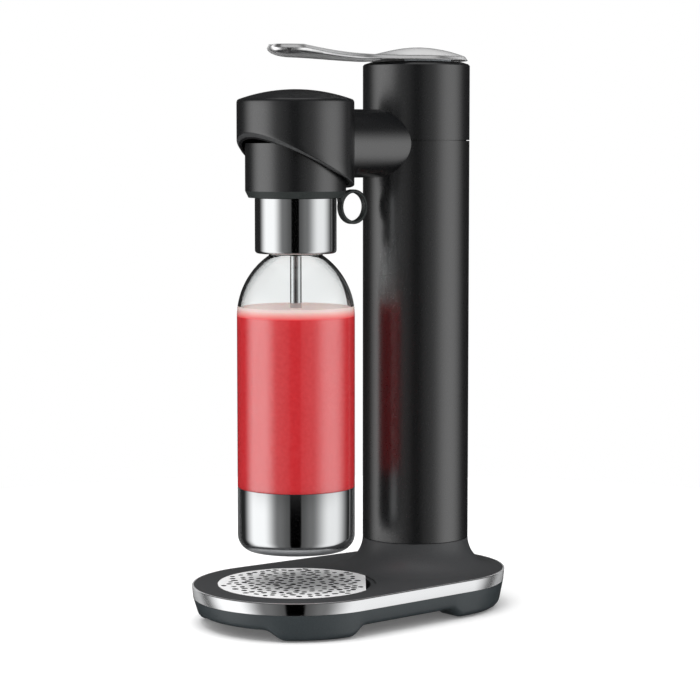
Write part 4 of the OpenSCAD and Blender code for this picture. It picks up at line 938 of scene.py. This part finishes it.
# White floor, a round sheet that keeps the object's shadow and is lost in the white room
floor_paint, tree, shader = finish_of("matt_white_floor", Base_Color=linear("#f7f7f7"),
                                      Specular_IOR_Level=0.0, Emission_Color=grey(1.0))
grain(tree, shader, 4.0, 0, (0.85, 0.95))
ray = add(tree, "ShaderNodeLightPath")
seen = add(tree, "ShaderNodeMath", links={0: (ray, "Is Camera Ray"), 1: (ray, "Is Transmission Ray")},
           operation="MAXIMUM")
glow = add(tree, "ShaderNodeMath", {1: FLOOR_GLOW}, {0: (seen, 0)}, operation="MULTIPLY")
tree.links.new(glow.outputs[0], shader.inputs["Emission Strength"])
sheet = bpy.data.meshes.new("studio_floor")
edge = [(FLOOR_R * math.cos(a), FLOOR_R * math.sin(a), 0) for a in full_turn(FLOOR_SIDES)]
sheet.from_pydata(edge, [], [tuple(range(len(edge)))])
sheet.materials.append(floor_paint)
floor = bpy.data.objects.new("studio_floor", sheet)
bpy.context.scene.collection.objects.link(floor)
floor.visible_glossy = floor.visible_transmission = False

# Pale room: white where it is seen, soft boxes where metal and gloss mirror it
room = bpy.data.worlds.new("studio_room")
bpy.context.scene.world = room
room.use_nodes = True
tree = room.node_tree
tree.nodes.clear()
ray = add(tree, "ShaderNodeLightPath")
way = add(tree, "ShaderNodeTexCoord")
boxes = compass(tree, way)
height = add(tree, "ShaderNodeSeparateXYZ", links={"Vector": (way, "Generated")})
over, under, overhead = [
    add(tree, "ShaderNodeMapRange", {"From Min": start, "From Max": end}, {"Value": (height, "Z")},
        interpolation_type="SMOOTHSTEP") for start, end in (FADE_UP, FADE_DOWN, LID)]
steep = add(tree, "ShaderNodeMath", links={0: (over, "Result"), 1: (under, "Result")}, operation="MAXIMUM")
faded = add(tree, "ShaderNodeMix", {"B": grey(FADED_LEVEL)}, {"Factor": (steep, 0), "A": (boxes, "Color")},
            data_type="RGBA")
lid = add(tree, "ShaderNodeMix", {"B": grey(LID_LEVEL)},
          {"Factor": (overhead, "Result"), "A": (faded, "Result")}, data_type="RGBA")
# A reflection still counts as one after it has passed through the bottle's wall
once = add(tree, "ShaderNodeMath", {1: 0.5}, {0: (ray, "Glossy Depth")}, operation="GREATER_THAN")
through = add(tree, "ShaderNodeMath", links={0: (ray, "Is Transmission Ray"), 1: (once, 0)},
              operation="MULTIPLY")
bounced = add(tree, "ShaderNodeMath", links={0: (ray, "Is Glossy Ray"), 1: (ray, "Is Transmission Ray")},
              operation="SUBTRACT", use_clamp=True)
gloss = add(tree, "ShaderNodeMath", links={0: (bounced, 0), 1: (through, 0)}, operation="MAXIMUM")
seen = add(tree, "ShaderNodeMath", links={0: (ray, "Is Camera Ray"), 1: (ray, "Is Transmission Ray")},
           operation="MAXIMUM")
shown = add(tree, "ShaderNodeMath", links={0: (seen, 0), 1: (gloss, 0)}, operation="SUBTRACT",
            use_clamp=True)
matt = add(tree, "ShaderNodeBackground", {"Color": grey(1.0), "Strength": MATT_LIGHT})
mirrored = add(tree, "ShaderNodeBackground", {"Strength": MIRRORED_LIGHT}, {"Color": (lid, "Result")})
white = add(tree, "ShaderNodeBackground", {"Color": grey(1.0), "Strength": 1.0})
lit = add(tree, "ShaderNodeMixShader", links={0: (gloss, 0), 1: (matt, 0), 2: (mirrored, 0)})
whole = add(tree, "ShaderNodeMixShader", links={0: (shown, 0), 1: (lit, 0), 2: (white, 0)})
add(tree, "ShaderNodeOutputWorld", links={"Surface": (whole, 0)})

# One large soft lamp from above, in front of the object and to the left as the camera sees it
lamp_data = bpy.data.lights.new("overhead_soft_box", "AREA")
lamp_data.shape, lamp_data.energy = "RECTANGLE", LAMP_WATTS
lamp_data.size = lamp_data.size_y = LAMP_SIZE
lamp = bpy.data.objects.new("overhead_soft_box", lamp_data)
lamp.location = LAMP_AT
lamp.visible_glossy = lamp.visible_transmission = False
lamp.rotation_euler = (Vector(LAMP_AIM) - lamp.location).to_track_quat("-Z", "Y").to_euler()
bpy.context.scene.collection.objects.link(lamp)

bpy.context.scene.view_settings.view_transform = "Standard"
